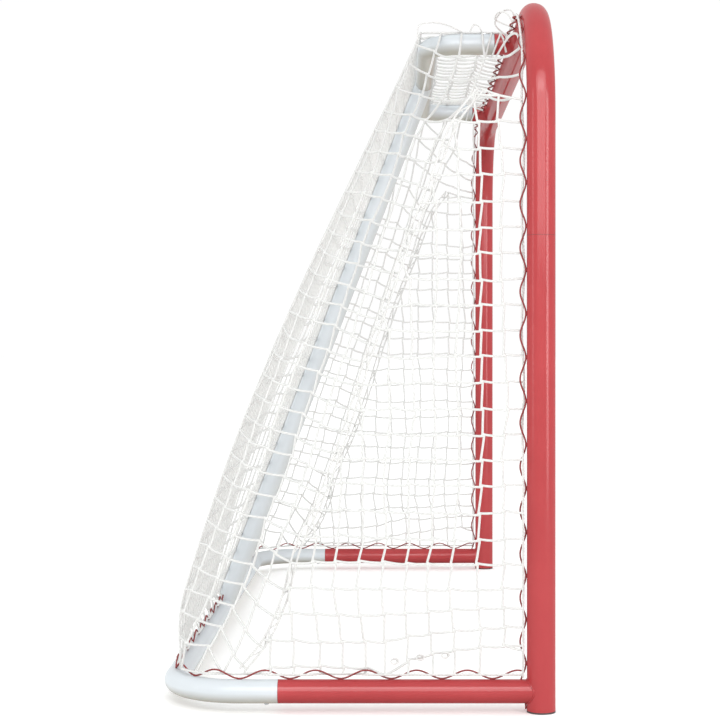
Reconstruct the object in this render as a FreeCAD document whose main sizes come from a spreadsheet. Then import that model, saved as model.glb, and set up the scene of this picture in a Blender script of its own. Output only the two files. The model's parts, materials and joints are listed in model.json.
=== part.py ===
import FreeCAD, Part
import math
import os

import Sketcher
from FreeCAD import Placement, Rotation, Vector

# Hockey goal net, full size, in millimetres.
# X runs through the goal: the mouth faces +X and the net hangs towards -X.
# Y runs along the crossbar, Z is up, and the floor is Z = 0.
# The origin is under the middle of the goal's box.
# "left" is the -Y side, "right" the +Y side, as a shooter in front of the mouth sees them.

doc = FreeCAD.newDocument("hockey_goal_net")

# Driving dimensions

SIZES = (
    ("mouth_width", 1828.8, "clear width between the posts"),
    ("mouth_height", 1219.2, "floor to the underside of the crossbar"),
    ("post_od", 50.0, "outside diameter of the posts and the crossbar"),
    ("post_wall", 1.6, "wall of the posts and the crossbar"),
    ("corner_radius", 200.0, "centreline radius of the two corners of the crossbar"),
    ("post_seam", 828.0, "height of the slip joint in each post"),
    ("cap_rim", 3.0, "thickness of the foot cap under the post"),
    ("cap_plug", 22.0, "depth of the foot cap inside the post"),
    ("cap_wall", 2.5, "wall of the foot cap"),
    ("base_od", 41.3, "outside diameter of the base tubes"),
    ("base_wall", 1.5, "wall of the base tubes"),
    ("base_clear", 15.0, "gap between the base tubes and the floor"),
    ("base_depth", 650.0, "post centre to the centre of the rear bar"),
    ("base_corner", 125.0, "centreline radius of the two rear corners"),
    ("base_straight", 67.8, "seam of the base tubes to the start of the rear corner"),
    ("shelf_od", 41.3, "outside diameter of the shelf tube"),
    ("shelf_wall", 1.5, "wall of the shelf tube"),
    ("shelf_width", 966.0, "distance between the centres of the shelf legs"),
    ("shelf_depth", 187.0, "crossbar centre to the centre of the shelf's rear bar"),
    ("shelf_corner", 72.0, "centreline radius of the two shelf corners"),
    ("stub_reach", 55.0, "crossbar centre to the seam of the shelf legs"),
    ("strut_od", 41.3, "outside diameter of the rear strut"),
    ("strut_wall", 1.5, "wall of the rear strut"),
    ("slip_clear", 0.2, "clearance all round of a tube that slips into another"),
    ("post_sleeve", 140.0, "length of the sleeve inside a post joint"),
    ("base_sleeve", 120.0, "length of the sleeve inside a base joint"),
    ("shelf_sleeve", 56.0, "length of the sleeve inside a shelf joint"),
    ("sleeve_wall", 2.0, "wall of the sleeves"),
    ("screw_od", 4.2, "shank of the joint screws"),
    ("screw_length", 10.0, "shank length of the joint screws"),
    ("screw_head", 8.5, "head diameter of the joint screws"),
    ("screw_rise", 2.6, "head height of the joint screws"),
    ("screw_inset", 20.0, "joint screw to the seam of its joint"),
    ("screw_fit", 0.1, "clearance all round of a screw or bolt in its hole"),
    ("bolt_od", 8.0, "thread diameter of the strut bolts"),
    ("bolt_head", 14.0, "diameter of the bolt heads"),
    ("bolt_rise", 4.0, "height of the bolt heads"),
    ("bolt_grip", 30.0, "length of bolt that is threaded into the strut's plug"),
    ("plug_length", 40.0, "length of the threaded plug in each end of the strut"),
    ("plug_inset", 24.0, "bar centre to the near face of the strut's plug"),
    ("rod_od", 3.0, "diameter of the wavy lacing rod"),
    ("front_wave", 10.0, "height of the waves behind the posts and the crossbar"),
    ("front_pitch", 75.6, "length of one wave behind the posts and the crossbar"),
    ("front_foot", 8.4, "height of the lowest weld of the rod behind a post"),
    ("base_wave", 14.4, "height of the waves on the base tubes"),
    ("base_pitch", 88.0, "length of one wave on the base tubes"),
    ("base_first", 84.5, "post centre to the first weld of the rod on a base tube"),
    ("rod_end", 34.0, "post centre to the front end of the rod on a base tube"),
    ("rod_tail", 3.4, "length of rod past the lowest weld behind a post"),
    ("weld_gap", 0.05, "gap between a rod and the tube at its welds"),
    ("net_cord", 4.0, "thickness of the net's cord"),
    ("seam_cord", 6.0, "thickness of the sewn seams and folds of the net"),
    ("net_mesh", 132.0, "spacing of the cords that the solids show, three meshes of the net"),
    ("net_hem", 6.0, "width of the hem round each panel of net"),
    ("net_gap", 0.3, "gap between a panel of net and its neighbour"),
    ("net_cheek_drop", 159.2, "underside of the crossbar to the front end of a side seam"),
    ("net_jaw_drop", 189.2, "underside of the crossbar to the upper corner of a side seam"),
    ("net_jaw_reach", 140.0, "post centre to the upper corner of a side seam"),
)

ROD_SIDES = 6
ROD_STEPS = 6

sheet = doc.addObject("Spreadsheet::Sheet", "Sizes")
for row, (alias, value, meaning) in enumerate(SIZES, start=1):
    sheet.set(f"A{row}", str(value))
    sheet.setAlias(f"A{row}", alias)
    sheet.set(f"B{row}", meaning)
doc.recompute()


def size(alias):
    return float(sheet.get(alias))


# Places that follow from the driving dimensions, as formulas of the sheet

POST_X = "((Sizes.base_depth + Sizes.base_od / 2 - Sizes.post_od / 2) / 2)"
HALF_SPAN = "(Sizes.mouth_width / 2 + Sizes.post_od / 2)"
CROSSBAR_Z = "(Sizes.mouth_height + Sizes.post_od / 2)"
BASE_Z = "(Sizes.base_clear + Sizes.base_od / 2)"
BASE_LEG = "(Sizes.base_corner + Sizes.base_straight)"
SIDE_REACH = f"(Sizes.base_depth - {BASE_LEG})"
POST_BORE = "(Sizes.post_od - 2 * Sizes.post_wall)"
BASE_BORE = "(Sizes.base_od - 2 * Sizes.base_wall)"
SHELF_BORE = "(Sizes.shelf_od - 2 * Sizes.shelf_wall)"
STRUT_BORE = "(Sizes.strut_od - 2 * Sizes.strut_wall)"
STRUT_RUN = "(Sizes.base_depth - Sizes.shelf_depth)"
STRUT_RISE = f"({CROSSBAR_Z} - {BASE_Z})"
STRUT_LENGTH = f"(hypot({STRUT_RUN}; {STRUT_RISE}))"
STRUT_LEAN = f"(atan2({STRUT_RUN}; {STRUT_RISE}))"
SCREW_HOLE = "(Sizes.screw_od + 2 * Sizes.screw_fit)"
BOLT_HOLE = "(Sizes.bolt_od + 2 * Sizes.screw_fit)"

half_span = size("mouth_width") / 2 + size("post_od") / 2
crossbar_z = size("mouth_height") + size("post_od") / 2
base_z = size("base_clear") + size("base_od") / 2
base_top = base_z + size("base_od") / 2
shelf_top = crossbar_z + size("shelf_od") / 2

SIDES = (("left", -1), ("right", 1))


# Helpers for sketched tubes

def origin_plane(body, role):
    return [part for part in body.Origin.OriginFeatures if part.Role == role][0]


def add_sketch(body, name, role):
    sketch = body.newObject("Sketcher::SketchObject", name)
    sketch.AttachmentSupport = [(origin_plane(body, role), "")]
    sketch.MapMode = "FlatFace"
    return sketch


def drive(sketch, constraint, formula):
    index = sketch.addConstraint(constraint)
    sketch.setExpression(f"Constraints[{index}]", formula)


def add_circle(sketch, diameter, across="0", up="0"):
    """A circle whose diameter and centre follow formulas of the sheet."""
    circle = sketch.addGeometry(Part.Circle(Vector(1, 1, 0), Vector(0, 0, 1), 10))
    drive(sketch, Sketcher.Constraint("Diameter", circle, 20), diameter)
    for kind, formula in (("DistanceX", across), ("DistanceY", up)):
        if formula == "0":
            axis = -2 if kind == "DistanceX" else -1
            sketch.addConstraint(Sketcher.Constraint("PointOnObject", circle, 3, axis))
        else:
            drive(sketch, Sketcher.Constraint(kind, -1, 1, circle, 3, 1), formula)
    return circle


def add_tube(name, outer, bore, length):
    """A straight tube along its own Z, padded from a sketch of two circles."""
    body = doc.addObject("PartDesign::Body", name)
    section = add_sketch(body, f"{name}_section", "XY_Plane")
    add_circle(section, outer)
    add_circle(section, bore)
    pad = body.newObject("PartDesign::Pad", f"{name}_pad")
    pad.Profile = section
    pad.setExpression("Length", length)
    return body


def cut_across(body, name, diameter, up, role):
    """The saddle that fits the end of a tube round the tube that it meets."""
    sketch = add_sketch(body, f"{name}_sketch", role)
    add_circle(sketch, diameter, "0", up)
    doc.recompute()
    saddle = body.newObject("PartDesign::Pocket", name)
    saddle.Profile = sketch
    saddle.Type = "ThroughAll"
    saddle.SideType = "Symmetric"
    return saddle


def drill_one_wall(body, name, places, depth, towards_minus_y):
    """Round holes through one wall of a tube, at places given in its XZ plane."""
    sketch = add_sketch(body, f"{name}_sketch", "XZ_Plane")
    for across, up in places:
        add_circle(sketch, SCREW_HOLE, across, up)
    doc.recompute()
    holes = body.newObject("PartDesign::Pocket", name)
    holes.Profile = sketch
    holes.setExpression("Length", depth)
    holes.Reversed = towards_minus_y
    return holes


def add_hoop(name, outer, bore, half, leg, radius):
    """A bent tube: a bar along X at the height leg, with a rounded corner and a leg at each end."""
    body = doc.addObject("PartDesign::Body", name)
    foot = add_sketch(body, f"{name}_foot", "XY_Plane")
    corner = add_sketch(body, f"{name}_corner", "XY_Plane")
    corner.setExpression("AttachmentOffset.Base.z", f"{leg} - {radius}")
    middle = add_sketch(body, f"{name}_middle", "YZ_Plane")
    for section, across, up in ((foot, f"-1 * {half}", "0"), (corner, f"-1 * {half}", "0"),
                                (middle, "0", leg)):
        add_circle(section, outer, across, up)
        add_circle(section, bore, across, up)
    axis = Part.LineSegment(Vector(-300, 0, 0), Vector(-300, 50, 0))
    line = corner.addGeometry(axis, True)
    corner.addConstraint(Sketcher.Constraint("Vertical", line))
    corner.addConstraint(Sketcher.Constraint("PointOnObject", line, 1, -1))
    place_axis = Sketcher.Constraint("DistanceX", line, 1, -1, 1, 300)
    drive(corner, place_axis, f"{half} - {radius}")
    drive(corner, Sketcher.Constraint("DistanceY", line, 1, line, 2, 50), radius)
    doc.recompute()
    upright = body.newObject("PartDesign::Pad", f"{name}_leg")
    upright.Profile = foot
    upright.setExpression("Length", f"{leg} - {radius}")
    bend = body.newObject("PartDesign::Revolution", f"{name}_bend")
    bend.Profile = corner
    bend.ReferenceAxis = (corner, ["Axis0"])
    bend.Angle = 90
    bar = body.newObject("PartDesign::Pad", f"{name}_bar")
    bar.Profile = middle
    bar.SideType = "Symmetric"
    bar.setExpression("Length", f"2 * ({half} - {radius})")
    mirror = body.newObject("PartDesign::Mirrored", f"{name}_mirror")
    mirror.Originals = [upright, bend]
    mirror.MirrorPlane = (origin_plane(body, "YZ_Plane"), [""])
    body.Tip = mirror
    return body


def place(piece, x, y, z, rotation=None):
    """Puts a piece at a place given by formulas, with a fixed rotation."""
    if rotation is not None:
        piece.Placement = Placement(Vector(0, 0, 0), rotation)
    for axis, formula in zip("xyz", (x, y, z)):
        piece.setExpression(f"Placement.Base.{axis}", formula)


def turn(z_axis, y_axis):
    """The rotation that brings a piece's own Z and Y to the given directions."""
    return Rotation(y_axis.cross(z_axis), y_axis, z_axis, "ZYX")


FORWARD = Vector(1, 0, 0)
BACKWARD = Vector(-1, 0, 0)
ACROSS = Vector(0, 1, 0)
UPWARD = Vector(0, 0, 1)

nodes = {}


def keep(name, piece):
    piece.Label = name
    nodes[name] = piece
    return piece


# The front frame: two posts with foot caps, and the bent crossbar that slips onto them

for side, sign in SIDES:
    y_place = f"{sign} * {HALF_SPAN}"
    post = add_tube(f"post_{side}", "Sizes.post_od", POST_BORE, "Sizes.post_seam - Sizes.cap_rim")
    place(post, POST_X, y_place, "Sizes.cap_rim")
    keep(f"post_{side}", post)

    cap = doc.addObject("PartDesign::Body", f"foot_cap_{side}")
    disc = add_sketch(cap, f"foot_cap_{side}_disc", "XY_Plane")
    add_circle(disc, "Sizes.post_od")
    rim = cap.newObject("PartDesign::Pad", f"foot_cap_{side}_rim")
    rim.Profile = disc
    rim.setExpression("Length", "Sizes.cap_rim")
    plug_outer = f"{POST_BORE} - 2 * Sizes.slip_clear"
    ring = add_sketch(cap, f"foot_cap_{side}_ring", "XY_Plane")
    add_circle(ring, plug_outer)
    add_circle(ring, f"{plug_outer} - 2 * Sizes.cap_wall")
    plug = cap.newObject("PartDesign::Pad", f"foot_cap_{side}_plug")
    plug.Profile = ring
    plug.setExpression("Length", "Sizes.cap_rim + Sizes.cap_plug")
    place(cap, POST_X, y_place, "0")
    keep(f"foot_cap_{side}", cap)

    sleeve_outer = f"{POST_BORE} - 2 * Sizes.slip_clear"
    sleeve_bore = f"{sleeve_outer} - 2 * Sizes.sleeve_wall"
    sleeve = add_tube(f"post_sleeve_{side}", sleeve_outer, sleeve_bore, "Sizes.post_sleeve")
    place(sleeve, POST_X, y_place, "Sizes.post_seam - Sizes.post_sleeve / 2")
    keep(f"post_sleeve_{side}", sleeve)

crossbar = add_hoop(
    "crossbar", "Sizes.post_od", POST_BORE, HALF_SPAN,
    f"({CROSSBAR_Z} - Sizes.post_seam)", "Sizes.corner_radius",
)
place(crossbar, POST_X, "0", "Sizes.post_seam", Rotation(UPWARD, 90))
keep("crossbar", crossbar)


# The base: a red tube welded to each post, and the white hoop that slips onto both

JOINT_WALLS = "(Sizes.base_od / 2 + Sizes.screw_length)"


def add_joint_sleeve(name, tube_bore, length, towards_minus_y):
    """A sleeve welded in one tube, and drilled for the screw that holds the tube slipped over it."""
    outer = f"({tube_bore} - 2 * Sizes.slip_clear)"
    sleeve = add_tube(name, outer, f"{outer} - 2 * Sizes.sleeve_wall", length)
    place_of_hole = [("0", f"{length} / 2 + Sizes.screw_inset")]
    drill_one_wall(sleeve, f"{name}_hole", place_of_hole, JOINT_WALLS, towards_minus_y)
    return sleeve


def bolt_through(body, name, bar_od, leg):
    """The hole for a strut bolt, through both walls of a hoop's bar, along the strut."""
    hole = body.newObject("PartDesign::SubtractiveCylinder", name)
    hole.Placement = Placement(Vector(0, 0, 0), Rotation(BACKWARD, 100))
    hole.setExpression("Radius", f"{BOLT_HOLE} / 2")
    hole.setExpression("Height", f"2 * {bar_od}")
    hole.setExpression("Placement.Rotation.Angle", f"90 deg + {STRUT_LEAN}")
    hole.setExpression("Placement.Base.y", f"-1 * {bar_od} * cos({STRUT_LEAN})")
    hole.setExpression("Placement.Base.z", f"{leg} + {bar_od} * sin({STRUT_LEAN})")
    return hole


SHELF_LEG = "(Sizes.shelf_depth - Sizes.stub_reach)"
SHELF_HALF = "(Sizes.shelf_width / 2)"
FACE_BACK = turn(BACKWARD, UPWARD)

for side, sign in SIDES:
    y_place = f"{sign} * {HALF_SPAN}"
    tube = add_tube(f"side_tube_{side}", "Sizes.base_od", BASE_BORE, SIDE_REACH)
    cut_across(tube, f"side_tube_{side}_saddle", "Sizes.post_od", "0", "XZ_Plane")
    place(tube, POST_X, y_place, BASE_Z, FACE_BACK)
    keep(f"side_tube_{side}", tube)

    sleeve = add_joint_sleeve(f"side_sleeve_{side}", BASE_BORE, "Sizes.base_sleeve", True)
    start = f"{POST_X} - {SIDE_REACH} + Sizes.base_sleeve / 2"
    place(sleeve, start, y_place, BASE_Z, FACE_BACK)
    keep(f"side_sleeve_{side}", sleeve)

base_hoop = add_hoop(
    "base_hoop", "Sizes.base_od", BASE_BORE, HALF_SPAN, BASE_LEG, "Sizes.base_corner",
)
holes = [(f"{sign} * {HALF_SPAN}", "Sizes.screw_inset") for _, sign in SIDES]
drill_one_wall(base_hoop, "base_hoop_holes", holes, JOINT_WALLS, True)
bolt_through(base_hoop, "base_hoop_bolt_hole", "Sizes.base_od", BASE_LEG)
place(base_hoop, f"{POST_X} - {SIDE_REACH}", "0", BASE_Z, FACE_BACK)
keep("base_hoop", base_hoop)


# The shelf that carries the top of the net: a red stub at each end, and the white hoop

for side, sign in SIDES:
    y_place = f"{sign} * {SHELF_HALF}"
    stub = add_tube(f"shelf_stub_{side}", "Sizes.shelf_od", SHELF_BORE, "Sizes.stub_reach")
    cut_across(stub, f"shelf_stub_{side}_saddle", "Sizes.post_od", "0", "YZ_Plane")
    place(stub, POST_X, y_place, CROSSBAR_Z, FACE_BACK)
    keep(f"shelf_stub_{side}", stub)

    sleeve = add_joint_sleeve(f"shelf_sleeve_{side}", SHELF_BORE, "Sizes.shelf_sleeve", False)
    start = f"{POST_X} - Sizes.stub_reach + Sizes.shelf_sleeve / 2"
    place(sleeve, start, y_place, CROSSBAR_Z, FACE_BACK)
    keep(f"shelf_sleeve_{side}", sleeve)

top_shelf = add_hoop(
    "top_shelf", "Sizes.shelf_od", SHELF_BORE, SHELF_HALF, SHELF_LEG, "Sizes.shelf_corner",
)
holes = [(f"{sign} * {SHELF_HALF}", "Sizes.screw_inset") for _, sign in SIDES]
drill_one_wall(top_shelf, "top_shelf_holes", holes, JOINT_WALLS, False)
bolt_through(top_shelf, "top_shelf_bolt_hole", "Sizes.shelf_od", SHELF_LEG)
place(top_shelf, f"{POST_X} - Sizes.stub_reach", "0", CROSSBAR_Z, FACE_BACK)
keep("top_shelf", top_shelf)


# The rear strut, coped to both bars, with a threaded plug and a bolt at each end

STRUT_SIN = f"sin({STRUT_LEAN})"
STRUT_COS = f"cos({STRUT_LEAN})"


def place_on_strut(piece, distance, turned="0 deg"):
    """Puts a piece on the strut's axis, at a distance from the centre of the rear bar."""
    piece.Placement = Placement(Vector(0, 0, 0), Rotation(ACROSS, 20))
    piece.setExpression("Placement.Rotation.Angle", f"{STRUT_LEAN} + {turned}")
    x_place = f"{POST_X} - Sizes.base_depth + ({distance}) * {STRUT_SIN}"
    piece.setExpression("Placement.Base.x", x_place)
    piece.setExpression("Placement.Base.z", f"{BASE_Z} + ({distance}) * {STRUT_COS}")


strut = add_tube("back_strut", "Sizes.strut_od", STRUT_BORE, STRUT_LENGTH)
cut_across(strut, "back_strut_foot", "Sizes.base_od", "0", "XZ_Plane")
cut_across(strut, "back_strut_head", "Sizes.shelf_od", STRUT_LENGTH, "XZ_Plane")
place_on_strut(strut, "0")
keep("back_strut", strut)

plugs = []
for end, distance in (
    ("foot", "Sizes.plug_inset"),
    ("head", f"{STRUT_LENGTH} - Sizes.plug_inset - Sizes.plug_length"),
):
    outer = f"({STRUT_BORE} - 2 * Sizes.slip_clear)"
    plug = add_tube(f"strut_plug_{end}", outer, BOLT_HOLE, "Sizes.plug_length")
    place_on_strut(plug, distance)
    plugs.append(plug)

def gather(name, pieces):
    """Identical fasteners share one node, as separate solids."""
    group = doc.addObject("Part::Compound", name)
    group.Links = pieces
    return keep(name, group)


# The strut's bolts and the joint screws: a shank and a low head, turned from a half section

SCREW_PLACES = []
for side, sign in SIDES:
    base_x = f"{POST_X} - {SIDE_REACH} - Sizes.screw_inset"
    shelf_x = f"{POST_X} - Sizes.stub_reach - Sizes.screw_inset"
    shelf_z = f"{CROSSBAR_Z} + Sizes.shelf_od / 2"
    SCREW_PLACES.append((base_x, f"{sign} * {HALF_SPAN}", "Sizes.base_clear", 180))
    SCREW_PLACES.append((shelf_x, f"{sign} * {SHELF_HALF}", shelf_z, 0))


def add_fastener(name, shank_od, head_od, head_height, length):
    """Its shank runs down from the head's flat underside, at its own Z = 0."""
    body = doc.addObject("PartDesign::Body", name)
    half = add_sketch(body, f"{name}_half_section", "XZ_Plane")
    shank, rim, crown, high, deep = 2.0, 4.0, 3.0, 2.5, 10.0
    corners = (
        (0, high), (0, -deep), (shank, -deep), (shank, 0), (rim, 0), (rim, high / 2), (crown, high),
    )
    points = [Vector(across, up, 0) for across, up in corners]
    for here, there in zip(points, points[1:] + points[:1]):
        half.addGeometry(Part.LineSegment(here, there))
    count = len(points)
    for number in range(count):
        joined = Sketcher.Constraint("Coincident", number, 2, (number + 1) % count, 1)
        half.addConstraint(joined)
    for kind, *where in (
        ("PointOnObject", 0, 1, -2),
        ("PointOnObject", 0, 2, -2),
        ("Horizontal", 1),
        ("Vertical", 2),
        ("PointOnObject", 3, 1, -1),
        ("Horizontal", 3),
        ("Vertical", 4),
        ("Horizontal", 6),
    ):
        half.addConstraint(Sketcher.Constraint(kind, *where))
    for kind, first, first_end, second, second_end, value, formula in (
        ("DistanceX", -1, 1, 2, 1, shank, f"{shank_od} / 2"),
        ("DistanceX", -1, 1, 4, 1, rim, f"{head_od} / 2"),
        ("DistanceX", -1, 1, 5, 2, crown, f"{head_od} / 2 - {head_height} / 2"),
        ("DistanceY", -1, 1, 4, 2, high / 2, f"{head_height} / 2"),
        ("DistanceY", -1, 1, 0, 1, high, head_height),
        ("DistanceY", 0, 2, -1, 1, deep, length),
    ):
        ends = (first, first_end, second, second_end, value)
        drive(half, Sketcher.Constraint(kind, *ends), formula)
    doc.recompute()
    turned = body.newObject("PartDesign::Revolution", f"{name}_turned")
    turned.Profile = half
    turned.ReferenceAxis = (half, ["V_Axis"])
    turned.Angle = 360
    return body


bolts = []
for end, bar_od, distance, turned in (
    ("foot", "Sizes.base_od", "-1 * Sizes.base_od / 2", "180 deg"),
    ("head", "Sizes.shelf_od", f"{STRUT_LENGTH} + Sizes.shelf_od / 2", "0 deg"),
):
    reach = f"{bar_od} / 2 + Sizes.plug_inset + Sizes.bolt_grip"
    sizes = ("Sizes.bolt_od", "Sizes.bolt_head", "Sizes.bolt_rise", reach)
    bolt = add_fastener(f"strut_bolt_{end}", *sizes)
    place_on_strut(bolt, distance, turned)
    bolts.append(bolt)

screws = []
for number, (x_place, y_place, z_place, flipped) in enumerate(SCREW_PLACES, start=1):
    sizes = ("Sizes.screw_od", "Sizes.screw_head", "Sizes.screw_rise", "Sizes.screw_length")
    screw = add_fastener(f"joint_screw_{number}", *sizes)
    place(screw, x_place, y_place, z_place, Rotation(FORWARD, flipped))
    screws.append(screw)
gather("strut_plugs", plugs)
gather("strut_bolts", bolts)
gather("joint_screws", screws)


# The wavy rods that the net is laced to

def hoop_point(distance, half, leg, radius):
    """A point of a hoop's centreline, and the direction there, from its left foot."""
    straight = leg - radius
    bend = math.pi / 2 * radius
    bar = 2 * (half - radius)
    if distance <= straight:
        return (-half, distance), (0, 1)
    distance -= straight
    if distance <= bend:
        angle = distance / radius
        across = -half + radius * (1 - math.cos(angle))
        return (across, straight + radius * math.sin(angle)), (math.sin(angle), math.cos(angle))
    distance -= bend
    if distance <= bar:
        return (-half + radius + distance, leg), (1, 0)
    distance -= bar
    if distance <= bend:
        angle = distance / radius
        across = half - radius + radius * math.sin(angle)
        return (across, straight + radius * math.cos(angle)), (math.cos(angle), -math.sin(angle))
    distance -= bend
    return (half, straight - distance), (0, -1)


def hoop_length(half, leg, radius):
    return 2 * (leg - radius) + math.pi * radius + 2 * (half - radius)


rod_seat = size("rod_od") / 2 + size("weld_gap")
front_hoop = (half_span, crossbar_z - size("front_foot"), size("corner_radius"))
base_path = (half_span, size("base_depth") - size("base_first"), size("base_corner"))
front_length = hoop_length(*front_hoop)
base_length = hoop_length(*base_path)


def front_place(distance):
    (across, up), (along_y, along_z) = hoop_point(distance, *front_hoop)
    back = -size("post_od") / 2 - rod_seat
    return Vector(back, across, size("front_foot") + up), Vector(0, along_y, along_z)


def base_place(distance):
    (across, back), (along_y, along_x) = hoop_point(distance, *base_path)
    start = Vector(-size("base_first") - back, across, base_top + rod_seat)
    return start, Vector(-along_x, along_y, 0)


def wave_of(route_length, pitch, stand):
    """The rod's height over its welds, with a whole number of waves from end to end."""
    length = route_length / round(route_length / pitch)

    def wave(distance):
        return stand / 2 * (1 - math.cos(2 * math.pi * distance / length))

    return wave, length / ROD_STEPS


def onto_plane(point, along, anchor, normal):
    return point + along * ((anchor - point).dot(normal) / along.dot(normal))


def polygon_face(points):
    return Part.Face(Part.makePolygon(points + points[:1]))


def faceted_rod(centres, planes, outward, diameter):
    """A round bar or cord in flat facets, mitred where it turns, as one solid."""
    runs = [(there - here).normalize() for here, there in zip(centres, centres[1:])]
    mitres = [(before + after).normalize() for before, after in zip(runs, runs[1:])]
    planes = [planes[0] or runs[0]] + mitres + [planes[1] or runs[-1]]
    outward = (outward - runs[0] * outward.dot(runs[0])).normalize()
    sideways = runs[0].cross(outward)
    ring = []
    for corner in range(ROD_SIDES):
        angle = 2 * math.pi * corner / ROD_SIDES
        spoke = outward * math.cos(angle) + sideways * math.sin(angle)
        point = centres[0] + spoke * (diameter / 2)
        ring.append(onto_plane(point, runs[0], centres[0], planes[0]))
    faces = [polygon_face(ring)]
    for run, centre, plane in zip(runs, centres[1:], planes[1:]):
        moved = [onto_plane(point, run, centre, plane) for point in ring]
        for here in range(ROD_SIDES):
            there = (here + 1) % ROD_SIDES
            faces.append(polygon_face([ring[here], ring[there], moved[there], moved[here]]))
        ring = moved
    faces.append(polygon_face(ring))
    rod = Part.Solid(Part.Shell(faces))
    if rod.Volume < 0:
        rod.reverse()
    return rod


def wavy_rod(start, end, route, stand_off, wave, step):
    """A rod that follows the route and waves away from the tube, cut square at its ends."""
    first = math.ceil((start + step / 4) / step)
    last = math.floor((end - step / 4) / step)
    stations = [start] + [step * number for number in range(first, last + 1)] + [end]
    places = [route(distance) for distance in stations]
    centres = [spot + stand_off * wave(at) for (spot, _), at in zip(places, stations)]
    ends = (places[0][1], places[-1][1])
    return faceted_rod(centres, ends, stand_off, size("rod_od"))


def add_shape(name, shape):
    """A piece built in the posts' plane and moved to it, as its sizes are from there."""
    piece = doc.addObject("Part::Feature", name)
    piece.Shape = shape
    piece.setExpression("Placement.Base.x", POST_X)
    return keep(name, piece)


def add_mirrored(name, source):
    """The right-hand copy of a left-hand piece."""
    piece = doc.addObject("Part::Mirroring", name)
    piece.Source = source
    piece.Normal = ACROSS
    return keep(name, piece)


front_wave, front_step = wave_of(front_length, size("front_pitch"), size("front_wave"))
base_wave, base_step = wave_of(base_length, size("base_pitch"), size("base_wave"))
post_seam_at = size("post_seam") - size("front_foot")
bar_middle_at = front_length / 2
shelf_half = size("shelf_width") / 2
shelf_leg = size("shelf_od") / 2 + size("weld_gap")
stub_outer_at = bar_middle_at - shelf_half - shelf_leg
stub_inner_at = bar_middle_at - shelf_half + shelf_leg
tail_end = size("base_clear") - size("weld_gap") - size("front_foot")
post_rod_start = base_top + size("weld_gap") - size("front_foot")
base_leg = size("base_corner") + size("base_straight")
side_seam_at = size("base_depth") - base_leg - size("base_first")
strut_at = base_length / 2 - size("strut_od") / 2 - size("weld_gap")

FRONT_RODS = (
    ("lacing_rod_post", post_rod_start, post_seam_at),
    ("lacing_rod_corner", post_seam_at, stub_outer_at),
)
BASE_RODS = (
    ("lacing_rod_side", size("rod_end") - size("base_first"), side_seam_at),
    ("lacing_rod_rear", side_seam_at, strut_at),
)
for name, start, end in FRONT_RODS:
    rod = wavy_rod(start, end, front_place, BACKWARD, front_wave, front_step)
    left = add_shape(f"{name}_left", rod)
    add_mirrored(f"{name}_right", left)
for name, start, end in BASE_RODS:
    rod = wavy_rod(start, end, base_place, UPWARD, base_wave, base_step)
    left = add_shape(f"{name}_left", rod)
    add_mirrored(f"{name}_right", left)
bar_end = front_length - stub_inner_at
rod = wavy_rod(stub_inner_at, bar_end, front_place, BACKWARD, front_wave, front_step)
add_shape("lacing_rod_crossbar", rod)
tail = wavy_rod(-size("rod_tail"), tail_end, front_place, BACKWARD, front_wave, front_step)
tails = [tail, tail.mirror(Vector(0, 0, 0), ACROSS)]
add_shape("lacing_rod_tails", Part.makeCompound(tails))


# The net: flat panels with their meshes, drawn tight between the frame and the folds

cord = size("net_cord")
rope = size("seam_cord")
gap = size("net_gap")
front_crest = size("post_od") / 2 + size("weld_gap") + size("rod_od") + size("front_wave")
base_crest = base_top + size("weld_gap") + size("rod_od") + size("base_wave")
rope_seat = rope / 2 + gap


def clip(outline, lines):
    """The part of a convex outline that lies inward of every line."""
    for start, inward in lines:
        kept = []
        for here, there in zip(outline, outline[1:] + outline[:1]):
            near = (here - start).dot(inward)
            far = (there - start).dot(inward)
            if near >= 0:
                kept.append(here)
            if near * far < 0:
                kept.append(here + (there - here) * (near / (near - far)))
        outline = kept
    return outline


def edge_lines(outline, margins):
    lines = []
    for here, there, margin in zip(outline, outline[1:] + outline[:1], margins):
        inward = UPWARD.cross(there - here).normalize()
        lines.append((here + inward * margin, inward))
    return lines


def area_of(outline):
    total = 0
    for here, there in zip(outline, outline[1:] + outline[:1]):
        total += here.x * there.y - there.x * here.y
    return total / 2


def net_panel(corners, level, margins, anchor):
    """A flat panel of net, with rows along level and a crossing of its cords at the anchor."""
    normal = (corners[1] - corners[0]).cross(corners[2] - corners[0]).normalize()
    row = (level - normal * level.dot(normal)).normalize()
    column = normal.cross(row)
    origin = anchor
    flat = [Vector((c - origin).dot(row), (c - origin).dot(column), 0) for c in corners]
    outline = clip(flat, edge_lines(flat, margins))
    inside = clip(outline, edge_lines(outline, [size("net_hem")] * len(outline)))
    mesh = size("net_mesh")
    half_cord = cord / 2
    spans = []
    for axis in (0, 1):
        reach = [point[axis] for point in inside]
        spans.append((math.floor(min(reach) / mesh), math.ceil(max(reach) / mesh)))
    lines = edge_lines(inside, [0] * len(inside))
    holes = []
    for across in range(*spans[0]):
        for up in range(*spans[1]):
            low_x, high_x = across * mesh + half_cord, (across + 1) * mesh - half_cord
            low_y, high_y = up * mesh + half_cord, (up + 1) * mesh - half_cord
            cell = [Vector(low_x, low_y, 0), Vector(high_x, low_y, 0)]
            cell += [Vector(high_x, high_y, 0), Vector(low_x, high_y, 0)]
            hole = clip(cell, lines)
            if len(hole) > 2 and area_of(hole) > 4 * rope * rope:
                holes.append(hole)

    def wire(points):
        raised = [origin + row * p.x + column * p.y - normal * half_cord for p in points]
        return Part.makePolygon(raised + raised[:1])

    face = Part.makeFace([wire(outline)] + [wire(hole) for hole in holes], "Part::FaceMakerCheese")
    return face.extrude(normal * cord)


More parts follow.
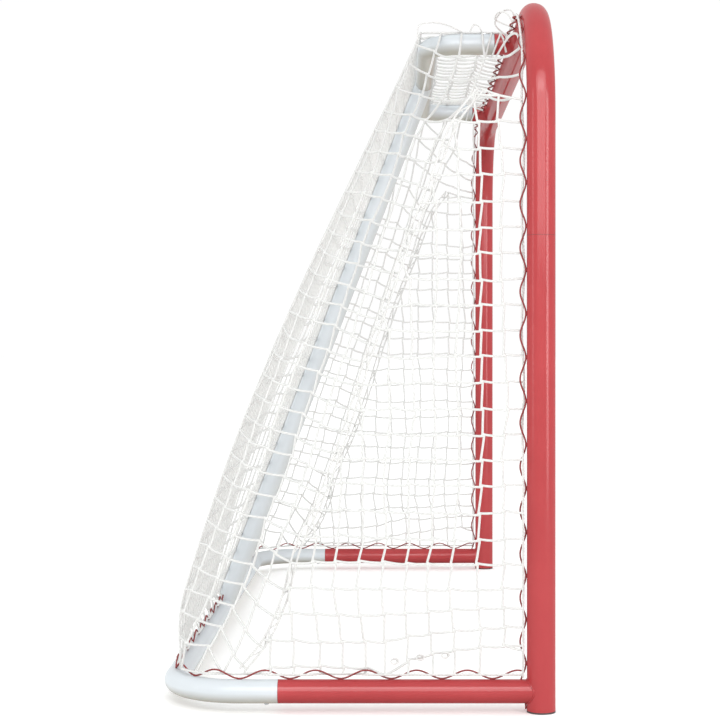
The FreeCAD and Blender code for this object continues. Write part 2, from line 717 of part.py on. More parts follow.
def fold_margin(normal, next_normal, thickness):
    """How far two faces stop short of the fold between them, so that they just clear."""
    return thickness / 2 * math.tan(normal.getAngle(next_normal) / 2) + gap / 2


def outward_normal(corners):
    normal = (corners[1] - corners[0]).cross(corners[2] - corners[0]).normalize()
    return normal if normal.dot(corners[0] - goal_middle) > 0 else normal * -1


def mirrored(point):
    return Vector(point.x, -point.y, point.z)


def with_mirror_copy(solid):
    return [solid, solid.mirror(Vector(0, 0, 0), ACROSS)]


top_z = shelf_top + gap + cord / 2
bottom_z = base_crest + rope_seat
lean = math.atan2(size("base_depth") - size("shelf_depth"), crossbar_z - base_z)
strut_seat = size("strut_od") / 2 + gap + cord / 2


def back_x(height):
    """The back of the net lies along the strut, so this is its place at a height."""
    rise = crossbar_z - height
    return -size("shelf_depth") - strut_seat / math.cos(lean) - rise * math.tan(lean)


shelf_side = shelf_half + size("shelf_od") / 2
bend_share = math.sqrt(0.5)
bend_y = half_span - size("corner_radius")
bend_z = crossbar_z - size("corner_radius")
rim_x = -front_crest - rope_seat
jaw_z = size("mouth_height") - size("net_jaw_drop")
cheek_z = size("mouth_height") - size("net_cheek_drop")
heel_x = -(size("base_depth") - size("base_corner"))
foot_y = half_span - size("base_corner")

goal_middle = Vector(heel_x / 2, 0, crossbar_z / 2)
shelf_end = Vector(back_x(top_z), -shelf_side, top_z)
shoulder = Vector(rim_x, -bend_y, top_z - (rope - cord) / 2)
bend_mid_y = bend_y + size("corner_radius") * bend_share
bend_mid_z = bend_z + size("corner_radius") * bend_share
bend_mid = Vector(rim_x, -bend_mid_y, bend_mid_z)
cheek = Vector(rim_x, -half_span, cheek_z)
jaw = Vector(-size("net_jaw_reach"), -half_span, jaw_z)
heel = Vector(heel_x, -half_span, bottom_z)
rear_mid_x = heel_x - size("base_corner") * bend_share
rear_mid_y = foot_y + size("base_corner") * bend_share
rear_mid = Vector(rear_mid_x, -rear_mid_y, bottom_z)
back_foot = Vector(back_x(bottom_z), -foot_y, bottom_z)

# Side panel: upright, from the post's rod to the seam rope, and down to the side's rod

side_front = -front_crest - gap
side_foot = base_crest + gap
side_corners = [
    Vector(side_front, -half_span, side_foot),
    Vector(side_front, -half_span, cheek_z),
    Vector(-size("net_jaw_reach"), -half_span, jaw_z),
    Vector(heel_x, -half_span, side_foot),
]
panel = net_panel(side_corners, BACKWARD, [0, rope_seat, rope_seat, 0], side_corners[0])
left = add_shape("net_side_left", panel)
add_mirrored("net_side_right", left)

# Corner panel: folded flat faces, from the top's side edge round the bend to the back's
# side edge, each with its length of the border rope

top_front = Vector(rim_x, -bend_y, top_z)
top_corners = [top_front, mirrored(top_front), mirrored(shelf_end), shelf_end]
back_corners = [shelf_end, back_foot, mirrored(back_foot), mirrored(shelf_end)]
fan = [shoulder, bend_mid, cheek, jaw, heel, rear_mid, back_foot]
fan_faces = [[shelf_end, here, there] for here, there in zip(fan, fan[1:])]
normals = [outward_normal(top_corners)]
normals += [outward_normal(corners) for corners in fan_faces]
normals.append(outward_normal(back_corners))
folds = [fold_margin(here, there, rope) for here, there in zip(normals, normals[1:])]
runs = [(there - here).normalize() for here, there in zip(fan, fan[1:])] + [ACROSS]
mitres = [runs[0]] + [(here + there).normalize() for here, there in zip(runs, runs[1:])]
faces = []
for number, corners in enumerate(fan_faces):
    level = normals[number + 1].cross(UPWARD)
    margins = [folds[number], 0, folds[number + 1]]
    plate = net_panel(corners, level, margins, shelf_end)
    ends = (mitres[number], mitres[number + 1])
    border = faceted_rod(fan[number:number + 2], ends, UPWARD, rope)
    faces.append(plate.fuse(border).Solids[0])
left = add_shape("net_corner_left", Part.makeCompound(faces))
add_mirrored("net_corner_right", left)

# Top panel: flat on the shelf, from the crossbar to the shelf's rear bar

middle = Vector((rim_x + shelf_end.x) / 2, size("net_mesh") / 2, top_z)
rear_fold = fold_margin(normals[0], normals[-1], cord)
top_margins = [0, folds[0], rear_fold, folds[0]]
add_shape("net_top", net_panel(top_corners, ACROSS, top_margins, middle))

# Back panel: along the strut from the shelf down to the rods on the rear bar, with its
# border rope up to each side of the strut

middle = Vector(back_foot.x, size("net_mesh") / 2, bottom_z)
plate = net_panel(back_corners, ACROSS, [folds[-1], 0, folds[-1], rear_fold], middle)
strut_side = size("strut_od") / 2 + gap
border_ends = [back_foot, Vector(back_foot.x, -strut_side, bottom_z)]
border = faceted_rod(border_ends, (mitres[-1], ACROSS), UPWARD, rope)
add_shape("net_back", plate.multiFuse(with_mirror_copy(border)).Solids[0])


# Everything is rebuilt, checked and written

doc.recompute()
for item in doc.Objects:
    faults = [word for word in item.State if word in ("Invalid", "Error")]
    if faults:
        raise RuntimeError(f"{item.Name} did not build: {faults}")
os.makedirs("parts", exist_ok=True)
for name, piece in nodes.items():
    shape = piece.Shape
    if shape.isNull() or not shape.isValid() or not shape.Solids:
        raise RuntimeError(f"{name} is not a sound solid")
    shape.exportStep(f"parts/{name}.step")
print(f"{len(nodes)} nodes written")
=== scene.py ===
import json
import math

import bpy
import numpy as np
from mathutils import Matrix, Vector


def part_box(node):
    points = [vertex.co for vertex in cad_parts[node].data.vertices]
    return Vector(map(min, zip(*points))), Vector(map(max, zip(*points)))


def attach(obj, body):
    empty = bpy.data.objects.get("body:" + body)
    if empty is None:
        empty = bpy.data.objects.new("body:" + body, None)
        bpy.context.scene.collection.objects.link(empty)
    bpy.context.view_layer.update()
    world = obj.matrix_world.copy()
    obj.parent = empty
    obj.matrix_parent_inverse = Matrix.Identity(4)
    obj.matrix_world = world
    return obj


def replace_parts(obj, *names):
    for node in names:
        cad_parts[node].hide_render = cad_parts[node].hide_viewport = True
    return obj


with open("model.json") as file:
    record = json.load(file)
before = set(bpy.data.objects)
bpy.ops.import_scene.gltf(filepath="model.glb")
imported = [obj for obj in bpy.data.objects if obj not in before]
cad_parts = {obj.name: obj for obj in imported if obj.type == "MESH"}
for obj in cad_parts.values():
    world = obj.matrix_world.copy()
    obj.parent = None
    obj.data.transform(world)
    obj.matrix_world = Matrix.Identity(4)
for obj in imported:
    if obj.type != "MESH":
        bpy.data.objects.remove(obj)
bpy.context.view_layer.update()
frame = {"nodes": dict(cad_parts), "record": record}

# Sizes and places of the CAD frame, in metres, with x counted from the posts' plane

POST_LOW, POST_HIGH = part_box("post_left")
POST_X = (POST_LOW.x + POST_HIGH.x) / 2
HALF_SPAN = -(POST_LOW.y + POST_HIGH.y) / 2
POST_R = 0.025
BASE_R = SHELF_R = STRUT_R = 0.02065
CROSSBAR_Z = 1.2442
BASE_Z = 0.03565
CORNER_R = 0.2
BASE_DEPTH = 0.65
BASE_CORNER = 0.125
SIDE_REACH = 0.4572
SHELF_HALF = 0.483
SHELF_DEPTH = 0.187
SHELF_CORNER = 0.072
STUB_REACH = 0.055
POST_SEAM = 0.828
ROD_R = 0.0015
ROD_SEAT = 0.00155
WELD_GAP = 0.00005
FRONT_FOOT = 0.0084
FRONT_WAVE = 0.010
FRONT_PITCH = 0.0756
BASE_WAVE = 0.0144
BASE_PITCH = 0.088
BASE_FIRST = 0.0845
ROD_END = 0.034
ROD_TAIL = 0.0034

ROOT = "root"
SIDES = (("left", -1), ("right", 1))


def arr(*values):
    return np.array(values, float)


FORWARD = arr(1, 0, 0)
BACK = arr(-1, 0, 0)
ACROSS = arr(0, 1, 0)
UP = arr(0, 0, 1)
MIRROR = arr(1, -1, 1)


def unit(v):
    return v / np.linalg.norm(v)


# Routes along the bent tubes, by distance from their left foot

def hoop_point(distance, half, leg, radius):
    """Across and along of a hoop's centreline, and its direction there."""
    straight, bend, bar = leg - radius, math.pi / 2 * radius, 2 * (half - radius)
    if distance <= straight:
        return (-half, distance), (0, 1)
    distance -= straight
    if distance <= bend:
        a = distance / radius
        return ((-half + radius * (1 - math.cos(a)), straight + radius * math.sin(a)),
                (math.sin(a), math.cos(a)))
    distance -= bend
    if distance <= bar:
        return (-half + radius + distance, leg), (1, 0)
    distance -= bar
    if distance <= bend:
        a = distance / radius
        return ((half - radius + radius * math.sin(a), straight + radius * math.cos(a)),
                (math.cos(a), -math.sin(a)))
    distance -= bend
    return (half, straight - distance), (0, -1)


def hoop_length(half, leg, radius):
    return 2 * (leg - radius) + math.pi * radius + 2 * (half - radius)


FRONT_HOOP = (HALF_SPAN, CROSSBAR_Z - FRONT_FOOT, CORNER_R)
BASE_HOOP = (HALF_SPAN, BASE_DEPTH - BASE_FIRST, BASE_CORNER)
FRONT_LENGTH = hoop_length(*FRONT_HOOP)
BASE_LENGTH = hoop_length(*BASE_HOOP)
FRONT_WAVELENGTH = FRONT_LENGTH / round(FRONT_LENGTH / FRONT_PITCH)
BASE_WAVELENGTH = BASE_LENGTH / round(BASE_LENGTH / BASE_PITCH)


def front_route(distance):
    """On the back of the posts and crossbar: place, direction and outward side."""
    (y, up), (dy, dz) = hoop_point(distance, *FRONT_HOOP)
    return arr(-POST_R, y, FRONT_FOOT + up), arr(0, dy, dz), arr(0, -dz, dy)


def base_route(distance):
    """On the top of the base tubes: place, direction and outward side."""
    (y, back), (dy, dx) = hoop_point(distance, *BASE_HOOP)
    return arr(-BASE_FIRST - back, y, BASE_Z + BASE_R), arr(-dx, dy, 0), arr(-dy, -dx, 0)


def front_wave(distance):
    return FRONT_WAVE / 2 * (1 - math.cos(2 * math.pi * distance / FRONT_WAVELENGTH))


def base_wave(distance):
    return BASE_WAVE / 2 * (1 - math.cos(2 * math.pi * distance / BASE_WAVELENGTH))


# Mesh builders

class Shape:
    """Collects rings of vertices into one mesh, with a UV of length along and turn round."""

    def __init__(self):
        self.verts, self.faces, self.uvs, self.count = [], [], [], 0

    def tube(self, path, radius, sides=6, start=0.0, ends=True, closed=False):
        """A round cord along a path of points, with a parallel-carried section."""
        path = np.asarray(path, float)
        n = len(path)
        step = np.diff(path, axis=0)
        length = np.linalg.norm(step, axis=1)
        step = step / np.maximum(length, 1e-9)[:, None]
        if closed:
            tangent = np.roll(path, -1, axis=0) - np.roll(path, 1, axis=0)
        else:
            tangent = np.vstack([step[:1], step[:-1] + step[1:], step[-1:]])
        tangent /= np.maximum(np.linalg.norm(tangent, axis=1), 1e-9)[:, None]
        guide = UP if abs(tangent[0][2]) < 0.9 else FORWARD
        side = unit(np.cross(tangent[0], guide))
        angles = np.arange(sides) * 2 * math.pi / sides
        along = start
        base = self.count
        for k in range(n):
            side = unit(side - tangent[k] * side.dot(tangent[k]))
            other = np.cross(tangent[k], side)
            ring = (np.outer(np.cos(angles), side) + np.outer(np.sin(angles), other)) * radius
            self.verts.append(path[k] + ring)
            if k:
                along += length[k - 1]
            self.uvs.append(along)
        last = n if closed else n - 1
        for k in range(last):
            a, b = base + k * sides, base + ((k + 1) % n) * sides
            u0 = self.uvs[-n + k]
            u1 = u0 + 0.001 if (k + 1) % n == 0 else self.uvs[-n + k + 1]
            for c in range(sides):
                d = (c + 1) % sides
                self.faces.append(((a + c, a + d, b + d, b + c),
                                   ((u0, c / sides), (u0, (c + 1) / sides),
                                    (u1, (c + 1) / sides), (u1, c / sides))))
        if ends and not closed:
            self.cap(base, sides, False)
            self.cap(base + (n - 1) * sides, sides, True)
        self.count += n * sides

    def cap(self, first, sides, far):
        ring = list(range(first, first + sides))
        if not far:
            ring.reverse()
        self.faces.append((tuple(ring), tuple((0.0, 0.0) for _ in ring)))

    def blob(self, place, axes, rings=4, sides=6):
        """A closed rounded lump with half lengths given by three axis vectors."""
        base = self.count
        a, b, c = (np.asarray(v, float) for v in axes)
        verts = [place + c]
        for i in range(1, rings):
            t = math.pi * i / rings
            for j in range(sides):
                p = 2 * math.pi * j / sides
                verts.append(place + c * math.cos(t) + (a * math.cos(p) + b * math.sin(p)) * math.sin(t))
        verts.append(place - c)
        self.verts.append(np.array(verts))
        zero = (0.0, 0.0)
        for j in range(sides):
            k = (j + 1) % sides
            self.faces.append(((base, base + 1 + j, base + 1 + k), (zero,) * 3))
            for i in range(rings - 2):
                p, q = base + 1 + i * sides, base + 1 + (i + 1) * sides
                self.faces.append(((p + j, q + j, q + k, p + k), (zero,) * 4))
            low = base + 1 + (rings - 2) * sides
            self.faces.append(((low + j, base + len(verts) - 1, low + k), (zero,) * 3))
        self.count += len(verts)

    def build(self, name, material):
        mesh = bpy.data.meshes.new(name)
        verts = np.vstack(self.verts)
        verts[:, 0] += POST_X
        mesh.from_pydata(verts.tolist(), [], [f for f, _ in self.faces])
        layer = mesh.uv_layers.new(name="along")
        layer.data.foreach_set("uv", [x for _, uv in self.faces for pair in uv for x in pair])
        mesh.polygons.foreach_set("use_smooth", [True] * len(mesh.polygons))
        mesh.materials.append(material)
        mesh.update()
        piece = bpy.data.objects.new(name, mesh)
        bpy.context.scene.collection.objects.link(piece)
        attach(piece, ROOT)
        return piece


def smooth_path(points, parts):
    """Catmull-Rom points through a polyline."""
    points = np.asarray(points, float)
    if len(points) < 3:
        t = np.linspace(0, 1, parts + 1)[:, None]
        return points[0] * (1 - t) + points[1] * t
    ends = np.vstack([2 * points[0] - points[1], points, 2 * points[-1] - points[-2]])
    out = []
    for a, b, c, d in zip(ends, ends[1:], ends[2:], ends[3:]):
        for k in range(parts):
            t = k / parts
            out.append(0.5 * (2 * b + (c - a) * t + (2 * a - 5 * b + 4 * c - d) * t * t
                              + (3 * b - a - 3 * c + d) * t ** 3))
    out.append(points[-1])
    return np.array(out)


# Materials

def new_material(name):
    made = bpy.data.materials.new(name)
    made.use_nodes = True
    nodes, links = made.node_tree.nodes, made.node_tree.links
    shader = nodes["Principled BSDF"]
    return made, nodes, links, shader


def noise_node(nodes, links, scale, detail=3.0):
    place = nodes.new("ShaderNodeTexCoord")
    noise = nodes.new("ShaderNodeTexNoise")
    noise.inputs["Scale"].default_value = scale
    noise.inputs["Detail"].default_value = detail
    noise.inputs["Roughness"].default_value = 0.5
    links.new(place.outputs["Object"], noise.inputs["Vector"])
    return noise.outputs["Fac"]


def ramp_node(nodes, links, source, stops):
    ramp = nodes.new("ShaderNodeValToRGB")
    while len(ramp.color_ramp.elements) < len(stops):
        ramp.color_ramp.elements.new(0.5)
    for element, (place, colour) in zip(ramp.color_ramp.elements, stops):
        element.position = place
        element.color = (*colour, 1)
    links.new(source, ramp.inputs["Fac"])
    return ramp.outputs["Color"]


def range_node(nodes, links, source, low, high, to_low=0.0, to_high=1.0):
    level = nodes.new("ShaderNodeMapRange")
    for name, value in zip(("From Min", "From Max", "To Min", "To Max"), (low, high, to_low, to_high)):
        level.inputs[name].default_value = value
    links.new(source, level.inputs["Value"])
    return level.outputs["Result"]


def math_node(nodes, links, operation, source, factor=None, added=None):
    made = nodes.new("ShaderNodeMath")
    made.operation = operation
    links.new(source, made.inputs[0])
    if factor is not None:
        made.inputs[1].default_value = factor
    if added is not None:
        links.new(added, made.inputs[2])
    return made.outputs["Value"]


def bump_node(nodes, links, height, strength, distance, shader):
    bump = nodes.new("ShaderNodeBump")
    bump.inputs["Strength"].default_value = strength
    bump.inputs["Distance"].default_value = distance
    links.new(height, bump.inputs["Height"])
    links.new(bump.outputs["Normal"], shader.inputs["Normal"])


def set_inputs(shader, **values):
    """Sets a shader's inputs, with an underscore for each space of a name."""
    for name, value in values.items():
        shader.inputs[name.replace("_", " ")].default_value = value


def paint(name, dark, light, rough, coat, peel, underside_shade):
    """Powder coat: a faint mottle, orange peel, and painted shade that darkens and warms the undersides."""
    made, nodes, links, shader = new_material(name)
    colour = ramp_node(nodes, links, noise_node(nodes, links, 9.0, 4.0), ((0.3, dark), (0.7, light)))
    # Painted shade: the colour is multiplied darker where the normal faces down, in place of the shade
    # under the tubes
    facing = nodes.new("ShaderNodeNewGeometry")
    parts = nodes.new("ShaderNodeSeparateXYZ")
    links.new(facing.outputs["Normal"], parts.inputs["Vector"])
    turned = range_node(nodes, links, parts.outputs["Z"], -1, 1)
    under = ramp_node(nodes, links, turned, ((0.08, underside_shade), (0.50, (1, 1, 1))))
    mixed = nodes.new("ShaderNodeMix")
    mixed.data_type = "RGBA"
    mixed.blend_type = "MULTIPLY"
    mixed.inputs["Factor"].default_value = 1.0
    # Of a mix node's many sockets, these are the two colours that go in and the one that comes out
    links.new(colour, mixed.inputs[6])
    links.new(under, mixed.inputs[7])
    links.new(mixed.outputs[2], shader.inputs["Base Color"])
    gloss = noise_node(nodes, links, 22.0, 5.0)
    links.new(range_node(nodes, links, gloss, 0, 1, rough - 0.05, rough + 0.07), shader.inputs["Roughness"])
    set_inputs(shader, Coat_Weight=coat, Coat_Roughness=0.14, Specular_IOR_Level=0.0)
    bump_node(nodes, links, noise_node(nodes, links, 420.0, 2.0), peel, 0.0006, shader)
    return made


def steel(name):
    made, nodes, links, shader = new_material(name)
    grain = noise_node(nodes, links, 60.0, 6.0)
    colour = ramp_node(nodes, links, grain, ((0.3, (0.42, 0.43, 0.45)), (0.7, (0.66, 0.67, 0.69))))
    links.new(colour, shader.inputs["Base Color"])
    set_inputs(shader, Metallic=1.0, Roughness=0.34)
    bump_node(nodes, links, grain, 0.08, 0.0004, shader)
    return made


def plastic(name):
    made, nodes, links, shader = new_material(name)
    grain = noise_node(nodes, links, 260.0, 4.0)
    colour = ramp_node(nodes, links, grain, ((0.3, (0.020, 0.014, 0.013)), (0.7, (0.045, 0.034, 0.031))))
    links.new(colour, shader.inputs["Base Color"])
    set_inputs(shader, Roughness=0.62)
    bump_node(nodes, links, grain, 0.25, 0.0005, shader)
    return made


def cord_material(name, pitch, strands, tone):
    """Twisted polyester: strands that wind round the cord, with fibres along them."""
    made, nodes, links, shader = new_material(name)
    coords = nodes.new("ShaderNodeUVMap")
    coords.uv_map = "along"
    parts = nodes.new("ShaderNodeSeparateXYZ")
    links.new(coords.outputs["UV"], parts.inputs["Vector"])
    along = math_node(nodes, links, "MULTIPLY", parts.outputs["X"], 2 * math.pi / pitch)
    turned = math_node(nodes, links, "MULTIPLY_ADD", parts.outputs["Y"], 2 * math.pi * strands, along)
    strand = range_node(nodes, links, math_node(nodes, links, "SINE", turned), -1, 1)
    low, high = [tuple(c * t for c in tone) for t in (0.93, 1.0)]
    colour = ramp_node(nodes, links, strand, ((0.0, low), (0.55, high)))
    links.new(colour, shader.inputs["Base Color"])
    fibre = noise_node(nodes, links, 900.0, 3.0)
    bump_node(nodes, links, math_node(nodes, links, "MULTIPLY_ADD", fibre, 0.25, strand), 0.35,
              0.0003, shader)
    set_inputs(shader, Roughness=0.82, Specular_IOR_Level=0.12, Sheen_Weight=0.08, Sheen_Roughness=0.5)
    return made


# Each paint's last colour is painted shade, multiplied in on the surfaces that face down
RED = paint("red_powder_coat", (0.375, 0.043, 0.047), (0.42, 0.053, 0.057), 0.25, 0.42,
            0.03, (0.72, 0.62, 0.60))
WHITE = paint("white_powder_coat", (0.575, 0.61, 0.635), (0.605, 0.64, 0.665), 0.28, 0.38,
              0.03, (0.62, 0.56, 0.47))
ROD_RED = paint("rod_powder_coat", (0.22, 0.045, 0.045), (0.29, 0.055, 0.055), 0.36, 0.15,
                0.08, (0.8, 0.8, 0.8))
STEEL = steel("zinc_plate")
RUBBER = plastic("cap_rubber")
SHADOW = plastic("joint_shadow")
CORD = cord_material("net_cord_twist", 0.009, 2, (0.665, 0.665, 0.65))
ROPE = cord_material("border_rope_twist", 0.014, 3, (0.69, 0.685, 0.67))

SLOT_MATERIAL = {
    "red_paint": RED, "white_paint": WHITE, "rod_paint": ROD_RED, "bare_steel": STEEL,
    "cap_plastic": RUBBER, "net_cord": CORD,
}
for part in frame["record"]["subparts"]:
    node = frame["nodes"][part["node"]]
    node.data.materials.clear()
    node.data.materials.append(SLOT_MATERIAL[part["material_slot"]])


# The wavy rods, with a bead of weld where each wave touches its tube

def rod_path(start, end, route, stand_off, wave, wavelength, parts=22):
    stations = np.linspace(start, end, max(4, int((end - start) / wavelength * parts)))
    return [route(d)[0] + stand_off * (ROD_SEAT + wave(d)) for d in stations]


SHELF_LEG = SHELF_R + WELD_GAP
BAR_MIDDLE = FRONT_LENGTH / 2
STUB_OUTER = BAR_MIDDLE - SHELF_HALF - SHELF_LEG
STUB_INNER = BAR_MIDDLE - SHELF_HALF + SHELF_LEG
POST_ROD_START = BASE_Z + BASE_R + WELD_GAP - FRONT_FOOT
TAIL_END = BASE_Z - BASE_R - WELD_GAP - FRONT_FOOT
SEAM_AT = POST_SEAM - FRONT_FOOT
SIDE_SEAM_AT = SIDE_REACH - BASE_FIRST
STRUT_AT = BASE_LENGTH / 2 - STRUT_R - WELD_GAP

FRONT_RODS = (
    ("lacing_rod_post_left", POST_ROD_START, SEAM_AT),
    ("lacing_rod_corner_left", SEAM_AT, STUB_OUTER),
    ("lacing_rod_crossbar", STUB_INNER, FRONT_LENGTH - STUB_INNER),
    ("lacing_rod_corner_right", FRONT_LENGTH - STUB_OUTER, FRONT_LENGTH - SEAM_AT),
    ("lacing_rod_post_right", FRONT_LENGTH - SEAM_AT, FRONT_LENGTH - POST_ROD_START),
)
BASE_RODS = (
    ("lacing_rod_side_left", ROD_END - BASE_FIRST, SIDE_SEAM_AT),
    ("lacing_rod_rear_left", SIDE_SEAM_AT, STRUT_AT),
    ("lacing_rod_rear_right", BASE_LENGTH - STRUT_AT, BASE_LENGTH - SIDE_SEAM_AT),
    ("lacing_rod_side_right", BASE_LENGTH - SIDE_SEAM_AT, BASE_LENGTH + BASE_FIRST - ROD_END),
)
BEAD = arr(0.0045, 0.0019, 0.0011)
BEAD_LIFT = 0.0006
BEAD_FROM_END = 0.004
FILLET_R = 0.0017


def add_rod(name, spans, route, stand_off, wave, wavelength, replaced):
    shape = Shape()
    for start, end in spans:
        shape.tube(rod_path(start, end, route, stand_off, wave, wavelength), ROD_R, 8)
        first = math.ceil((start + BEAD_FROM_END) / wavelength)
        for k in range(first, math.floor((end - BEAD_FROM_END) / wavelength) + 1):
            place, along, side = route(k * wavelength)
            shape.blob(place + stand_off * BEAD_LIFT,
                       (along * BEAD[0], side * BEAD[1], stand_off * BEAD[2]), 5, 10)
    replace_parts(shape.build(name, ROD_RED), replaced)


for name, start, end in FRONT_RODS:
    add_rod(name.replace("lacing_rod", "wavy_rod"), [(start, end)], front_route, BACK,
            front_wave, FRONT_WAVELENGTH, name)
for name, start, end in BASE_RODS:
    add_rod(name.replace("lacing_rod", "wavy_rod"), [(start, end)], base_route, UP,
            base_wave, BASE_WAVELENGTH, name)
tails = [(-ROD_TAIL, TAIL_END), (FRONT_LENGTH - TAIL_END, FRONT_LENGTH + ROD_TAIL)]
add_rod("wavy_rod_tails", tails, front_route, BACK, front_wave, FRONT_WAVELENGTH,
        "lacing_rod_tails")


# Fillets of weld round the coped joints, and dark rings of painted shadow at the slip joints

def saddle_ring(branch, main, origin, axis, other, bar, parts=48):
    """The curve where a tube of radius branch meets a tube of radius main."""
    points = []
    for k in range(parts):
        a = 2 * math.pi * k / parts
        offset = other * math.cos(a) * branch + bar * math.sin(a) * branch
        across = branch * math.cos(a)
        depth = math.sqrt(max(main ** 2 - across ** 2, 0))
        points.append(origin + axis * depth + offset)
    return np.array(points)


def ring_points(centre, axis, radius, parts=48):
    side = unit(np.cross(axis, UP if abs(axis[2]) < 0.9 else ACROSS))
    other = np.cross(axis, side)
    return np.array([centre + side * math.cos(t) * radius + other * math.sin(t) * radius
                     for t in np.arange(parts) * 2 * math.pi / parts])


# Centre on the right, axis, the ring's radius and its cord's
JOINTS = (
    (arr(0, HALF_SPAN, POST_SEAM), UP, POST_R - 0.00025, 0.00045),
    (arr(-SIDE_REACH, HALF_SPAN, BASE_Z), FORWARD, BASE_R - 0.00025, 0.0004),
    (arr(-STUB_REACH, SHELF_HALF, CROSSBAR_Z), FORWARD, SHELF_R - 0.0002, 0.0005),
)
fillets = Shape()
for _, sign in SIDES:
    post = arr(0, sign * HALF_SPAN, BASE_Z)
    fillets.tube(saddle_ring(BASE_R, POST_R, post, BACK, ACROSS, UP), FILLET_R, 6, closed=True)
    corner = arr(0, sign * SHELF_HALF, CROSSBAR_Z)
    fillets.tube(saddle_ring(SHELF_R, POST_R, corner, BACK, UP, ACROSS), FILLET_R, 6, closed=True)
fillets.build("weld_fillets", RED)

# Painted shadow: thin dark rings stand in for the shade in each slip joint's gap
lines = Shape()
for _, sign in SIDES:
    for centre, axis, ring_radius, line_radius in JOINTS:
        ring = ring_points(centre * arr(1, sign, 1), axis, ring_radius)
        lines.tube(ring, line_radius, 5, closed=True)
lines.build("slip_joint_lines", SHADOW)


# Sizes of the cords. A rope's strands lie STRAND_OFF of its radius from its middle, and their
# own radius is STRAND_SHARE of it.

MESH = 0.044
CORD_R = 0.0023
ROPE_R = 0.0024
SEAM_R = 0.0022
LASH_R = 0.0013
SLACK_R = 0.0016
ROPE_CLEAR = 0.0004
ROPE_TWIST = 0.019
SEAM_TWIST = 0.014
ROPE_STEP = 0.0032
STRAND_OFF = 0.5
STRAND_SHARE = 0.54


# The net's surface. The main cloth lies on the shelf and hangs down the back between two
# ridges, and a corner cloth goes from each ridge round to the post, the side's seam and
# the base. w and s are a place on the main cloth laid flat; u and v one on a corner.

SEAT = STRUT_R + CORD_R + 0.0003
LEAN = math.atan2(BASE_DEPTH - SHELF_DEPTH, CROSSBAR_Z - BASE_Z)
TOP_Z = CROSSBAR_Z + SEAT
BOTTOM_Z = BASE_Z + BASE_R + ROD_SEAT + BASE_WAVE / 2
RIM_X = -(POST_R + ROD_SEAT + FRONT_WAVE / 2)
OUT = ROD_R + ROPE_R
BEND_Z = CROSSBAR_Z - CORNER_R
LEG_Y = 0.484
EDGE_Y = LEG_Y - 0.006
LEG_DROP = 0.0245
FOOT_X, FOOT_Y = -0.634, 0.882
SWELL = 0.033


def back_x(z):
    return -SHELF_DEPTH - SEAT / math.cos(LEAN) - (CROSSBAR_Z - z) * math.tan(LEAN)


APEX_S = RIM_X - back_x(TOP_Z)
RIDGE = np.array([(BOTTOM_Z, FOOT_Y), (0.20, 0.850), (0.35, 0.820), (0.59, 0.795), (0.80, 0.765),
                  (0.93, 0.710), (1.05, 0.645), (1.20, 0.535), (1.2415, 0.504), (TOP_Z, LEG_Y)])


def smoothstep(low, high, value):
    t = min(1.0, max(0.0, (value - low) / (high - low)))
    return t * t * (3 - 2 * t)


def bulge(z):
    """The back stands a little off a straight line between its rods and the shelf."""
    share = min(max((TOP_Z - z) / (TOP_Z - BOTTOM_Z), 0), 1)
    return SWELL * math.sin(math.pi * share ** 1.6)


def ridge_point(z):
    """The right-hand fold between the back and the corner."""
    home = smoothstep(0.24, BOTTOM_Z, z)
    x = (back_x(z) - bulge(z)) * (1 - home) + FOOT_X * home
    return arr(x, float(np.interp(z, RIDGE[:, 0], RIDGE[:, 1])), z)


def cloth_place(w, s):
    """Where a point of the flat main cloth hangs."""
    if s < APEX_S:
        share = s / APEX_S
        drop = (TOP_Z - CROSSBAR_Z - OUT) * (1 - min(1.0, s / 0.045)) ** 2
        sag = 0.008 * math.sin(math.pi * share) * (1 - smoothstep(0.36, LEG_Y, abs(w)))
        return arr(RIM_X - s, w, TOP_Z - drop - sag)
    z = TOP_Z - (s - APEX_S) * math.cos(LEAN)
    fold = ridge_point(z)
    out = bulge(z) * min(1.0, max(0.0, (abs(w) - 0.03) / 0.2))
    x = back_x(z) - out
    x += (fold[0] - back_x(z) + bulge(z)) * smoothstep(0.6, 1.0, abs(w) / fold[1])
    return arr(x, w, z)


# The rows of the corner: where each crosses the main upright cord (row, x, y, z), its far end
# and the meshes up to there (row, x, y, z, meshes), and how much higher than at the upright it
# starts on the ridge (row, rise)
UPRIGHT = np.array([
    (0, -0.1640, 0.484, 1.2672), (1, -0.1745, 0.510, 1.2270), (2, -0.1876, 0.535, 1.1789),
    (3, -0.2011, 0.600, 1.1270), (4, -0.2185, 0.680, 1.0726), (5, -0.2347, 0.745, 1.0283),
    (6, -0.2494, 0.790, 0.9835), (7, -0.2637, 0.820, 0.9419), (8, -0.2777, 0.840, 0.9021),
    (10, -0.3060, 0.865, 0.8231), (13, -0.3480, 0.880, 0.7080), (16, -0.3841, 0.890, 0.5934),
    (19, -0.4244, 0.890, 0.4794), (22, -0.4640, 0.892, 0.3660), (25, -0.5048, 0.895, 0.2528),
    (26, -0.5211, 0.898, 0.2162), (27, -0.5375, 0.902, 0.1831), (28, -0.5573, 0.906, 0.1476),
    (29, -0.5790, 0.911, 0.1130), (30, -0.6000, 0.914, BOTTOM_Z)])
